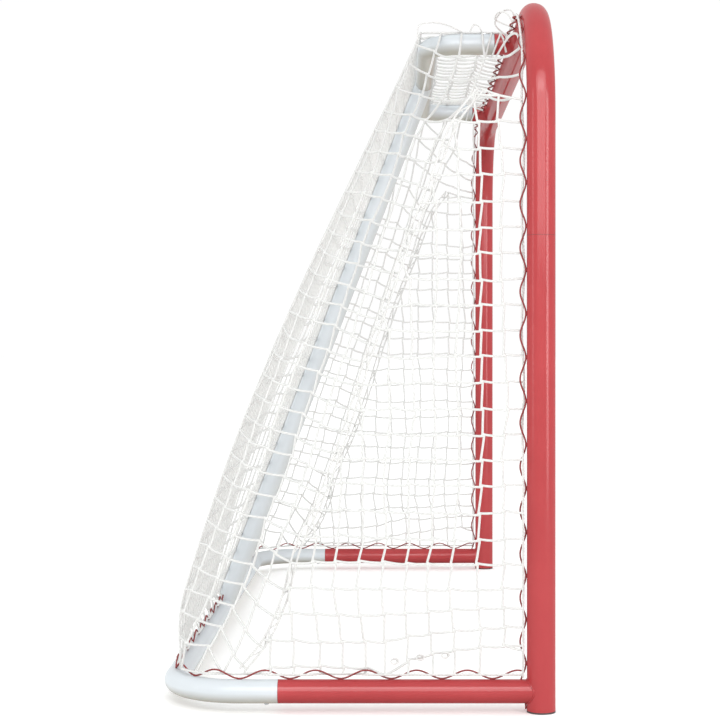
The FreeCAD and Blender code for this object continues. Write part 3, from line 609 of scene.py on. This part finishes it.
FAR_END = np.array([
    (0, RIM_X, 0.484, 1.2400, 3.1), (1, RIM_X, 0.905, 1.1490, 3.5), (2, RIM_X, 0.925, 1.1120, 4.1),
    (3, RIM_X, 0.933, 1.0800, 4.5), (3.2, RIM_X, 0.939, 1.0620, 4.5), (3.5, -0.105, 0.939, 1.0830, 3.0),
    (4, -0.148, 0.939, 1.0280, 2.4), (5, -0.161, 0.939, 0.9950, 2.4), (8, -0.208, 0.939, 0.8700, 2.3),
    (10, -0.239, 0.939, 0.7980, 2.2), (13, -0.282, 0.939, 0.6800, 2.0), (16, -0.317, 0.939, 0.5650, 2.0),
    (19, -0.354, 0.939, 0.4450, 2.0), (22, -0.390, 0.939, 0.3480, 2.0), (25, -0.443, 0.939, 0.2080, 1.95),
    (26, -0.464, 0.939, 0.1580, 1.85), (27, -0.487, 0.939, 0.1080, 1.75), (28, -0.520, 0.939, 0.0720, 1.6),
    (29, -0.556, 0.935, BOTTOM_Z, 1.0), (30, -0.598, 0.916, BOTTOM_Z, 0.15)])
RISE = np.array([(0, 0), (1, 0.015), (5, 0.024), (13, 0.036), (22, 0.036), (25, 0.030),
                 (28, 0.014), (30, 0)])


def at_row(table, row):
    return arr(*[np.interp(row, table[:, 0], table[:, k]) for k in range(1, table.shape[1])])


def corner_left(row):
    """A row's crossing of the main upright and its start on the ridge."""
    own = at_row(UPRIGHT, row)
    return own, ridge_point(min(TOP_Z, own[2] + at_row(RISE, row)[0]))


def corner_place(u, v):
    """Where a point of the right-hand corner cloth hangs."""
    row = min(30.0, max(0.0, v / MESH))
    own, fold = corner_left(row)
    if u < 0:
        gap = fold - own
        t = min(1.0, -u / np.linalg.norm(gap))
        stand = 0.16 * np.linalg.norm(gap) * math.sin(math.pi * t)
        return own + gap * t + arr(-0.7, 0.7, 0) * stand
    end = at_row(FAR_END, row)
    gap = end[:3] - own
    t = min(1.0, u / MESH / end[3])
    high = 1 - smoothstep(2.5, 6.0, row)
    stand = 0.10 * np.linalg.norm(gap) * math.sin(math.pi * t) * (1 - high) * smoothstep(30, 27, row)
    sag = 0.014 * high * smoothstep(0, 1.2, row) * math.sin(math.pi * t)
    return own + gap * t + arr(-0.62, 0.78, 0) * stand - UP * sag


def inside(edge, point):
    """Whether a flat point lies in a closed polygon."""
    x, y = point
    a, b = edge, np.roll(edge, -1, axis=0)
    cross = (a[:, 1] > y) != (b[:, 1] > y)
    with np.errstate(divide="ignore", invalid="ignore"):
        at = a[:, 0] + (y - a[:, 1]) * (b[:, 0] - a[:, 0]) / (b[:, 1] - a[:, 1])
    return bool(np.count_nonzero(cross & (x < at)) % 2)


def edge_point(edge, start, end):
    """Where a line from inside to outside leaves the polygon."""
    start, end = np.array(start), np.array(end)
    for _ in range(18):
        middle = (start + end) / 2
        if inside(edge, middle):
            start = middle
        else:
            end = middle
    return tuple(start)


# Knotted cords

# How far a knot strays smoothly and by itself, how far its legs leave it to either side, its
# half lengths, and how near the edge, in meshes, a knot is tied to the rope itself
WANDER = 0.0036
JITTER = 0.0012
LEG_ASIDE = 0.0015
KNOT = (0.0046, 0.0036, 0.0033)
AT_EDGE = 0.22


class Mesh:
    """Knots at places joined by legs. A knot that isn't drawn is the end of a leg on a rope."""

    def __init__(self):
        self.knots, self.legs = {}, []

    def add(self, key, place, normal, drawn=True):
        self.knots[key] = [arr(*place), normal, drawn]

    def join(self, a, b, slack):
        self.legs.append((a, b, slack))


def keep_off_tubes(points, margin=CORD_R + 0.0002):
    """Moves points straight out of any tube of the frame that they would enter."""
    points = np.asarray(points, float).copy()
    for start, end, radius in TUBES:
        axis = end - start
        length = np.linalg.norm(axis)
        axis = axis / length
        t = np.clip((points - start) @ axis, 0, length)
        off = points - (start + t[:, None] * axis)
        gap = np.linalg.norm(off, axis=1)
        near = gap < radius + margin
        if near.any():
            away = off[near] / np.maximum(gap[near], 1e-6)[:, None]
            points[near] = (start + t[near][:, None] * axis) + away * (radius + margin)
    return points


def tube_list():
    """The frame's tubes as straight capsules: start, end, radius."""
    tubes = []
    quarter = np.linspace(0, math.pi / 2, 9)

    def chain(points, radius):
        for a, b in zip(points, points[1:]):
            tubes.append((a, b, radius))

    def level_hoop(depth, half, corner, z, radius):
        points = [arr(0, -half, z)]
        points += [arr(-(depth - corner) - corner * math.sin(a), -half + corner * (1 - math.cos(a)), z)
                   for a in quarter]
        chain(points + [p * MIRROR for p in reversed(points)], radius)

    post = [arr(0, -HALF_SPAN, FRONT_FOOT)]
    post += [arr(0, -HALF_SPAN + CORNER_R * (1 - math.cos(a)), BEND_Z + CORNER_R * math.sin(a))
             for a in quarter]
    chain(post, POST_R)
    chain([post[-1], post[-1] * MIRROR], POST_R)
    chain([p * MIRROR for p in post], POST_R)
    level_hoop(BASE_DEPTH, HALF_SPAN, BASE_CORNER, BASE_Z, BASE_R)
    level_hoop(SHELF_DEPTH, SHELF_HALF, SHELF_CORNER, CROSSBAR_Z, SHELF_R)
    chain([arr(-SHELF_DEPTH, 0, CROSSBAR_Z), arr(-BASE_DEPTH, 0, BASE_Z)], STRUT_R)
    return tubes


TUBES = tube_list()


def smooth_noise(seed, cells):
    """A smooth random field over knot numbers, about -1 to 1."""
    field = np.random.default_rng(seed).normal(size=(64, 64))

    def at(i, j):
        x, y = i / cells + 20, j / cells + 20
        a, b = int(math.floor(x)), int(math.floor(y))
        u, v = x - a, y - b
        u, v = u * u * (3 - 2 * u), v * v * (3 - 2 * v)
        low = field[a % 64, b % 64] * (1 - u) + field[(a + 1) % 64, b % 64] * u
        high = field[a % 64, (b + 1) % 64] * (1 - u) + field[(a + 1) % 64, (b + 1) % 64] * u
        return low * (1 - v) + high * v
    return at


def net_patch(edge, origin, pitch, place, normal, seed, slack, pins):
    """A square-meshed net inside a flat polygon, hung in space by place(w, s).
    pins(w, s) gives the place on a rope where a cut leg is tied."""
    net = Mesh()
    low, high = edge.min(axis=0), edge.max(axis=0)
    first = [math.floor((low[k] - origin[k]) / pitch[k]) - 1 for k in (0, 1)]
    last = [math.ceil((high[k] - origin[k]) / pitch[k]) + 1 for k in (0, 1)]
    wander = [smooth_noise(seed + k, 2.3) for k in range(2)]
    own = np.random.default_rng(seed + 9)
    flat = {}
    for i in range(first[0], last[0] + 1):
        for j in range(first[1], last[1] + 1):
            shift = own.normal(size=2) * JITTER
            w = origin[0] + i * pitch[0] + WANDER * wander[0](i, j) + shift[0]
            s = origin[1] + j * pitch[1] + WANDER * wander[1](i, j) + shift[1]
            flat[i, j] = (w, s)
    within = {key for key, spot in flat.items() if inside(edge, spot)}
    ties = {}
    for (i, j) in sorted(within):
        for step in ((1, 0), (-1, 0), (0, 1), (0, -1)):
            other = (i + step[0], j + step[1])
            if other in within:
                continue
            spot = edge_point(edge, flat[i, j], flat[other])
            share = math.dist(spot, flat[i, j]) / pitch[0]
            ties.setdefault((i, j), []).append((share, step, spot))
    for key in sorted(within):
        close = [t for t in ties.get(key, ()) if t[0] < AT_EDGE]
        if close:
            net.add(key, pins(*min(close)[2]), normal(*flat[key]), False)
        else:
            net.add(key, place(*flat[key]), normal(*flat[key]))
    for (i, j) in sorted(within):
        for step in ((1, 0), (0, 1)):
            other = (i + step[0], j + step[1])
            if other in within:
                net.join((i, j), other, slack(flat[i, j], step, own))
        if not net.knots[i, j][2]:
            continue
        for share, step, spot in ties.get((i, j), ()):
            if share >= AT_EDGE:
                key = ("tie", i, j, step)
                net.add(key, pins(*spot), normal(*spot), False)
                net.join((i, j), key, slack(flat[i, j], step, own) * 0.7)
    return net


def draw_net(net, shape, segments=6):
    """Adds a net's legs and knots to a shape. A leg hangs a little by its own slack."""
    for a, b, slack in net.legs:
        start, start_normal, start_drawn = net.knots[a]
        end, end_normal, end_drawn = net.knots[b]
        gap = end - start
        span = np.linalg.norm(gap)
        if span < 0.004:
            continue
        along = gap / span
        turn_a, turn_b = unit(np.cross(start_normal, along)), unit(np.cross(end_normal, along))
        if start_drawn:
            start = start + turn_a * LEG_ASIDE
        if end_drawn:
            end = end - turn_b * LEG_ASIDE
        sag = span * math.sqrt(max(3 * slack / 8, 0)) * 0.9
        hang = -UP - along * (-UP).dot(along)
        level = np.linalg.norm(hang)
        hang = hang / max(level, 1e-6) * min(1, level * 1.5)
        t = np.linspace(0, 1, segments + 1)[:, None]
        path = start * (1 - t) + end * t + hang * (4 * t * (1 - t)) * sag
        shape.tube(keep_off_tubes(path), CORD_R, 6, start=float(abs(start[1]) * 3), ends=False)
    for place, normal, drawn in net.knots.values():
        if not drawn:
            continue
        up = unit(UP - normal * normal.dot(UP) + arr(0, 1e-4, 0))
        across = np.cross(up, normal)
        spot = keep_off_tubes(place[None, :], CORD_R * 1.9)[0]
        lean = unit(across + up * 0.55)
        other = np.cross(normal, lean)
        shape.blob(spot, (lean * KNOT[0], other * KNOT[1], normal * KNOT[2]), 5, 8)


def rope_strands(path, radius, shape, twist, strands=3):
    """A laid rope: strands that wind round the path."""
    path = np.asarray(path, float)
    step = np.linalg.norm(np.diff(path, axis=0), axis=1)
    at = np.concatenate([[0], np.cumsum(step)])
    count = max(8, int(at[-1] / ROPE_STEP))
    spots = np.linspace(0, at[-1], count)
    line = np.stack([np.interp(spots, at, path[:, k]) for k in range(3)], axis=1)
    tangent = np.gradient(line, axis=0)
    tangent /= np.maximum(np.linalg.norm(tangent, axis=1), 1e-9)[:, None]
    side = unit(np.cross(tangent[0], UP if abs(tangent[0][2]) < 0.9 else ACROSS))
    frames = []
    for t in tangent:
        side = unit(side - t * side.dot(t))
        frames.append((side, np.cross(t, side)))
    for strand in range(strands):
        turn = 2 * math.pi * strand / strands
        points = [p + (f[0] * math.cos(2 * math.pi * d / twist + turn)
                       + f[1] * math.sin(2 * math.pi * d / twist + turn)) * radius * STRAND_OFF
                  for p, d, f in zip(line, spots, frames)]
        shape.tube(points, radius * STRAND_SHARE, 5)


# Border and seam ropes

def front_rope(distance):
    """The rope that ties the net's mouth edge to the rod behind the posts and crossbar. It runs
    on the outer side of the rod, but changes to the inner side along the upper half of a post."""
    place, _, out = front_route(distance)
    z = place[2]
    inner = smoothstep(0.43, 0.50, z) * (1 - smoothstep(1.10, 1.22, z))
    aside = OUT * (1 - 2 * inner)
    back = ROD_SEAT + FRONT_WAVE / 2 + 0.002 * math.sin(distance * 31) * inner
    return place + out * aside + BACK * back


def base_rope(distance):
    """The rope that ties the net's lower edge to the rod on the base tubes. It keeps outside
    the rod near the posts and weaves from side to side of it further back."""
    place, _, out = base_route(distance)
    behind = -place[0]
    red = 1 - smoothstep(0.27, 0.31, behind)
    weave = math.cos(math.pi * distance / BASE_WAVELENGTH)
    side = red + (1 - red) * weave / max(0.35, abs(weave))
    return place + out * OUT * side + UP * (ROD_SEAT + BASE_WAVE / 2)


SEAM_HALF = 0.005
SEAM_IN = 0.001
SEAM_BENDS = ((-0.105, 1.083), (-0.153, 1.018), (-0.199, 0.895), (-0.242, 0.792),
              (-0.294, 0.638), (-0.336, 0.501), (-0.379, 0.381), (-0.422, 0.287),
              (-0.448, 0.192), (-0.479, 0.124), (-0.520, 0.072))


def seam_rope(sign, shift):
    """One of the two cords along a side's seam, moved a little across it."""
    points = [arr(x, sign * (HALF_SPAN - SEAM_IN * math.sin(9 * z)), z) for x, z in SEAM_BENDS]
    line = smooth_path(points, 10)
    step = np.gradient(line, axis=0)
    across = np.stack([-step[:, 2], np.zeros(len(step)), step[:, 0]], axis=1)
    across /= np.linalg.norm(across, axis=1)[:, None]
    return line + across * shift


def rope_line(route, start, end, count):
    """A rope's whole line, humped over the tubes that it would run through."""
    return keep_off_tubes([route(d) for d in np.linspace(start, end, count)], ROPE_R + ROPE_CLEAR)


ROPE_FOOT = 0.052
BASE_ROPE_PAST = 0.0505
front_line = rope_line(front_rope, ROPE_FOOT, FRONT_LENGTH - ROPE_FOOT, 1400)
base_line = rope_line(base_rope, -BASE_ROPE_PAST, BASE_LENGTH + BASE_ROPE_PAST, 900)
# A yoke is the short cord from a seam's top to the post
seam_lines, yokes = {}, {}
for _, sign in SIDES:
    seam_lines[sign] = (seam_rope(sign, SEAM_HALF), seam_rope(sign, -SEAM_HALF))
    yokes[sign] = smooth_path([arr(x, sign * (HALF_SPAN - SEAM_IN), z) for x, z in
                               ((-0.105, 1.083), (-0.070, 1.071), (RIM_X, 1.064))], 10)


def tied_to(place, *lines):
    """Finds the spot on some ropes that is nearest to where a flat point hangs."""
    spots = np.vstack(lines)

    def find(w, s):
        return spots[np.argmin(((spots - place(w, s)) ** 2).sum(axis=1))]
    return find


# The main cloth and its two corners

def surface_normal(place):
    d = 0.004

    def normal(w, s):
        n = np.cross(place(w + d, s) - place(w - d, s), place(w, s + d) - place(w, s - d))
        length = np.linalg.norm(n)
        return n / length if length > 1e-9 else BACK
    return normal


def cloth_slack(spot, step, own):
    if spot[1] < APEX_S:
        return own.uniform(0.004, 0.02)
    return own.uniform(0.003, 0.014) if step[0] == 1 else own.uniform(0.0, 0.004)


def corner_slack(spot, step, own):
    return own.uniform(0.001, 0.008) if step[0] == 1 else own.uniform(0.0, 0.004)


# The corner's uprights from this column on are left out down to this row, beside the bend
BEND_COLUMN = 3
BEND_ROW = 4


def beside_bend(key):
    return isinstance(key[0], int) and key[0] >= BEND_COLUMN and key[1] < BEND_ROW


def is_upright(a, b):
    """Whether the leg between two knots runs down the corner and not round it."""
    return b[3][0] == 0 if b[0] == "tie" else a[0] == b[0]


fold_spots = [ridge_point(z) for z in np.linspace(TOP_Z, BOTTOM_Z, 90)]
leg_spots = [arr(x, LEG_Y, TOP_Z - LEG_DROP * smoothstep(-0.07, RIM_X, x))
             for x in np.linspace(RIM_X, fold_spots[0][0], 30)[:-1]]
cloth_edge = [(EDGE_Y, 0.0), (EDGE_Y, APEX_S)]
cloth_edge += [(p[1] - 0.001, APEX_S + (TOP_Z - p[2]) / math.cos(LEAN)) for p in fold_spots]
cloth_edge = np.array(cloth_edge + [(-w, s) for w, s in cloth_edge[::-1]])
corner_rows = np.linspace(0.02, 30, 90)
corner_edge = [(at_row(FAR_END, r)[3] * MESH, r * MESH) for r in corner_rows]
corner_edge += [(-float(np.linalg.norm(np.subtract(*corner_left(r)))), r * MESH)
                for r in corner_rows[::-1]]
corner_edge = np.array(corner_edge)

folds = {sign: keep_off_tubes(np.array(leg_spots + fold_spots) * arr(1, sign, 1)) for _, sign in SIDES}
shape = Shape()
cloth = net_patch(cloth_edge, (0.0, 0.176), (MESH, 0.0435), cloth_place, surface_normal(cloth_place), 11,
                  cloth_slack, tied_to(cloth_place, front_line, base_line, folds[-1], folds[1]))
draw_net(cloth, shape)
for _, sign in SIDES:
    flip = arr(1, sign, 1)

    def place(u, v, flip=flip):
        return corner_place(u, v) * flip

    ends = tied_to(place, front_line, base_line, folds[sign], yokes[sign], seam_lines[sign][0])
    corner = net_patch(corner_edge, (0.0, 0.0), (MESH, MESH), place, surface_normal(place), 14 + sign,
                       corner_slack, ends)
    corner.legs = [leg for leg in corner.legs
                   if not (beside_bend(leg[0]) and is_upright(leg[0], leg[1]))]
    for key, knot in corner.knots.items():
        if beside_bend(key):
            knot[2] = False
    draw_net(corner, shape)
    shape.tube(folds[sign], CORD_R, 6)
    shape.tube(yokes[sign], CORD_R, 6)
piece = shape.build("net_cloth_back", CORD)
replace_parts(piece, "net_top", "net_back", "net_corner_left", "net_corner_right")


# The two side panels

SIDE_EDGE = np.array([(RIM_X, BOTTOM_Z), (RIM_X, 1.060), *SEAM_BENDS[:-1], (-0.520, BOTTOM_Z)])


def side_place(sign, wander):
    """Where a panel's points hang: the hem is drawn up towards the post, and all sways a little."""
    def place(x, z):
        lift = max(0.0, 0.215 - z) * 0.28 * smoothstep(-0.33, -0.07, x)
        lean = 0.010 * smoothstep(0.10, 0.23, z) * (1 - smoothstep(0.23, 0.30, z))
        out = 0.006 * wander(x * 10, z * 10)
        return arr(x - lean, sign * (HALF_SPAN + out), z + lift)
    return place


def side_slack(spot, step, own):
    low = 1 - smoothstep(0.10, 0.35, spot[1])
    return own.uniform(0.001, 0.006) + 0.005 * low * own.uniform(0.0, 1)


for side_name, sign in SIDES:
    place = side_place(sign, smooth_noise(31 + sign, 1.0))
    ends = tied_to(place, front_line[front_line[:, 1] * sign > 0], base_line[base_line[:, 1] * sign > 0],
                   yokes[sign], seam_lines[sign][1])
    panel = net_patch(SIDE_EDGE, (-0.064, 0.2135), (0.0408, 0.045), place,
                      lambda x, z, s=sign: arr(0, s, 0), 21 + sign, side_slack, ends)
    shape = Shape()
    draw_net(panel, shape)
    piece = shape.build(f"net_panel_{side_name}", CORD)
    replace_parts(piece, f"net_side_{side_name}")

ropes = Shape()
rope_strands(front_line, ROPE_R, ropes, ROPE_TWIST)
rope_strands(base_line, ROPE_R, ropes, ROPE_TWIST)
ropes.build("net_border_rope", ROPE)
seams = Shape()
for pair in seam_lines.values():
    for line in pair:
        rope_strands(line, SEAM_R, seams, SEAM_TWIST)
seams.build("net_seam_cords", ROPE)

# Lashings: the stitch between each seam's two cords, the turns round the shelf's stubs and the
# cord from there to the post, slack ends above the near stub and the shelf's leg, and curls at
# the near panel's hem

STITCH_STAND = 0.0018
lashing = Shape()
for sign, (one, two) in seam_lines.items():
    stitch = [(one if k % 2 else two)[4 * k] + ACROSS * (sign * STITCH_STAND * (1 if k % 4 < 2 else -1))
              for k in range(len(one) // 4)]
    lashing.tube(smooth_path(stitch, 4), LASH_R, 5)


def turn_round(centre, radius, lean, start=0.4, rounds=1.05):
    """A cord wound round a bar that runs along x."""
    return [centre + arr(lean * math.sin(a), radius * math.cos(a), radius * math.sin(a))
            for a in start + np.linspace(0, 2 * math.pi * rounds, int(26 * rounds))]


STUB_RING = SHELF_R + ROPE_R + ROPE_CLEAR
for _, sign in SIDES:
    for x, lean in ((-0.066, 0.006), (-0.050, 0.009)):
        ring = turn_round(arr(x, sign * SHELF_HALF, CROSSBAR_Z), STUB_RING, lean)
        rope_strands(ring, SEAM_R, lashing, SEAM_TWIST)
    way = [arr(-0.050, sign * SHELF_HALF, CROSSBAR_Z - STUB_RING),
           arr(-0.046, sign * 0.60, 1.219), arr(-0.040, sign * 0.74, 1.214),
           arr(-0.034, sign * 0.84, 1.196), arr(RIM_X - 0.002, sign * 0.893, 1.163)]
    lashing.tube(keep_off_tubes(smooth_path(way, 8)), CORD_R, 6)

SLACK_ENDS = (
    ((-0.036, -0.560, 1.247), (-0.060, -0.600, 1.262), (-0.052, -0.640, 1.276),
     (-0.036, -0.655, 1.279), (-0.028, -0.660, 1.268), (-0.030, -0.640, 1.252)),
    ((-0.034, -0.640, 1.250), (-0.048, -0.625, 1.259), (-0.062, -0.630, 1.266),
     (-0.056, -0.650, 1.275), (-0.042, -0.662, 1.271), (-0.033, -0.690, 1.249)),
    ((-0.209, -0.504, 1.244), (-0.207, -0.506, 1.277), (-0.180, -0.505, 1.284),
     (-0.152, -0.498, 1.281), (-0.120, -0.489, 1.2685)),
    ((-0.104, -0.485, 1.2685), (-0.096, -0.488, 1.283), (-0.086, -0.491, 1.279),
     (-0.080, -0.488, 1.2685)))
for points in SLACK_ENDS:
    lashing.tube(smooth_path(points, 6), SLACK_R, 6)
for x, z in ((-0.2548, 0.087), (-0.2105, 0.0936), (-0.167, 0.0976)):
    curl = [arr(x + 0.0052 * math.cos(a) * (1 + 0.05 * a), -HALF_SPAN - 0.0008 * a,
                z + 0.0046 * math.sin(a) + 0.0003 * a) for a in np.linspace(-0.6, 8.2, 22)]
    lashing.tube(keep_off_tubes(curl), SLACK_R, 6)
lashing.build("net_lashings", ROPE)


# CAD nodes keep their shape and are only shaded smooth

for name, node in frame["nodes"].items():
    if name.startswith(("net_", "lacing_rod")):
        continue
    node.data.polygons.foreach_set("use_smooth", [True] * len(node.data.polygons))
    node.data.set_sharp_from_angle(angle=math.radians(32))


# Stage, light and camera

def floor_material():
    made, nodes, links, shader = new_material("studio_floor")
    grain = noise_node(nodes, links, 2.0, 2.0)
    colour = ramp_node(nodes, links, grain, ((0.2, (0.93, 0.925, 0.915)), (0.8, (0.95, 0.945, 0.935))))
    links.new(colour, shader.inputs["Base Color"])
    set_inputs(shader, Roughness=0.95, Emission_Color=(1, 1, 1, 1), Emission_Strength=0.12,
               Specular_IOR_Level=0.1)
    return made


FLOOR_R = 120
FLOOR_SIDES = 96
floor_mesh = bpy.data.meshes.new("floor")
rim = [(math.cos(a) * FLOOR_R, math.sin(a) * FLOOR_R, 0.0)
       for a in np.linspace(0, 2 * math.pi, FLOOR_SIDES, False)]
floor_mesh.from_pydata(rim, [], [tuple(range(FLOOR_SIDES))])
floor = bpy.data.objects.new("floor", floor_mesh)
bpy.context.scene.collection.objects.link(floor)
floor_mesh.materials.append(floor_material())

world = bpy.data.worlds.new("studio")
bpy.context.scene.world = world
world.use_nodes = True
sky_nodes, sky_links = world.node_tree.nodes, world.node_tree.links
sky = sky_nodes["Background"]
sky_place = sky_nodes.new("ShaderNodeTexCoord")
sky_parts = sky_nodes.new("ShaderNodeSeparateXYZ")
sky_links.new(sky_place.outputs["Generated"], sky_parts.inputs["Vector"])
sky_ramp = ramp_node(sky_nodes, sky_links, sky_parts.outputs["Z"],
                     ((0.0, (1.0, 1.0, 1.0)), (0.24, (1.0, 1.0, 1.0)), (0.9, (0.96, 0.985, 1.0))))
sky_links.new(sky_ramp, sky.inputs["Color"])
sky_level = range_node(sky_nodes, sky_links, sky_parts.outputs["Z"], 0.2, 0.95, 1.01, 1.18)
sky_links.new(sky_level, sky.inputs["Strength"])


def area_light(name, place, target, size, power, gloss_only=False):
    light = bpy.data.lights.new(name, "AREA")
    light.shape = "RECTANGLE"
    light.size, light.size_y = size
    light.energy = power
    lamp = bpy.data.objects.new(name, light)
    bpy.context.scene.collection.objects.link(lamp)
    lamp.location = place
    lamp.rotation_euler = (Vector(target) - Vector(place)).to_track_quat("-Z", "Y").to_euler()
    if gloss_only:
        lamp.visible_diffuse = False


# The two gloss boxes show in reflections only and give the tubes their long highlights
area_light("top_box", (0.0, -4.6, 3.3), (0.2, -0.9, 0.2), (3.6, 0.8), 48)
area_light("side_strip", (3.3, -4.1, 1.7), (0.32, -0.94, 0.9), (0.8, 2.6), 40)
area_light("front_gloss", (0.0, -4.97, 2.65), (0.0, -0.94, 0.035), (6.0, 3.6), 430, True)
area_light("side_gloss", (3.6, -3.8, 1.3), (0.32, -0.94, 0.9), (1.5, 2.6), 75, True)
area_light("back_strip", (-4.2, -2.2, 1.5), (-0.2, 0.0, 0.7), (0.6, 2.6), 26)

scene = bpy.context.scene
scene.view_settings.view_transform = "Standard"
camera_data = bpy.data.cameras.new("photo_camera")
camera_data.lens = 82.24
camera_data.sensor_width = 36
camera_data.shift_x = -0.0514
camera_data.shift_y = -0.0141
camera_data.clip_end = 200
camera = bpy.data.objects.new("photo_camera", camera_data)
scene.collection.objects.link(camera)
camera.location = (POST_X - 0.2505, -3.7978, 0.629)
camera.rotation_euler = (math.pi / 2, 0, 0)
scene.camera = camera
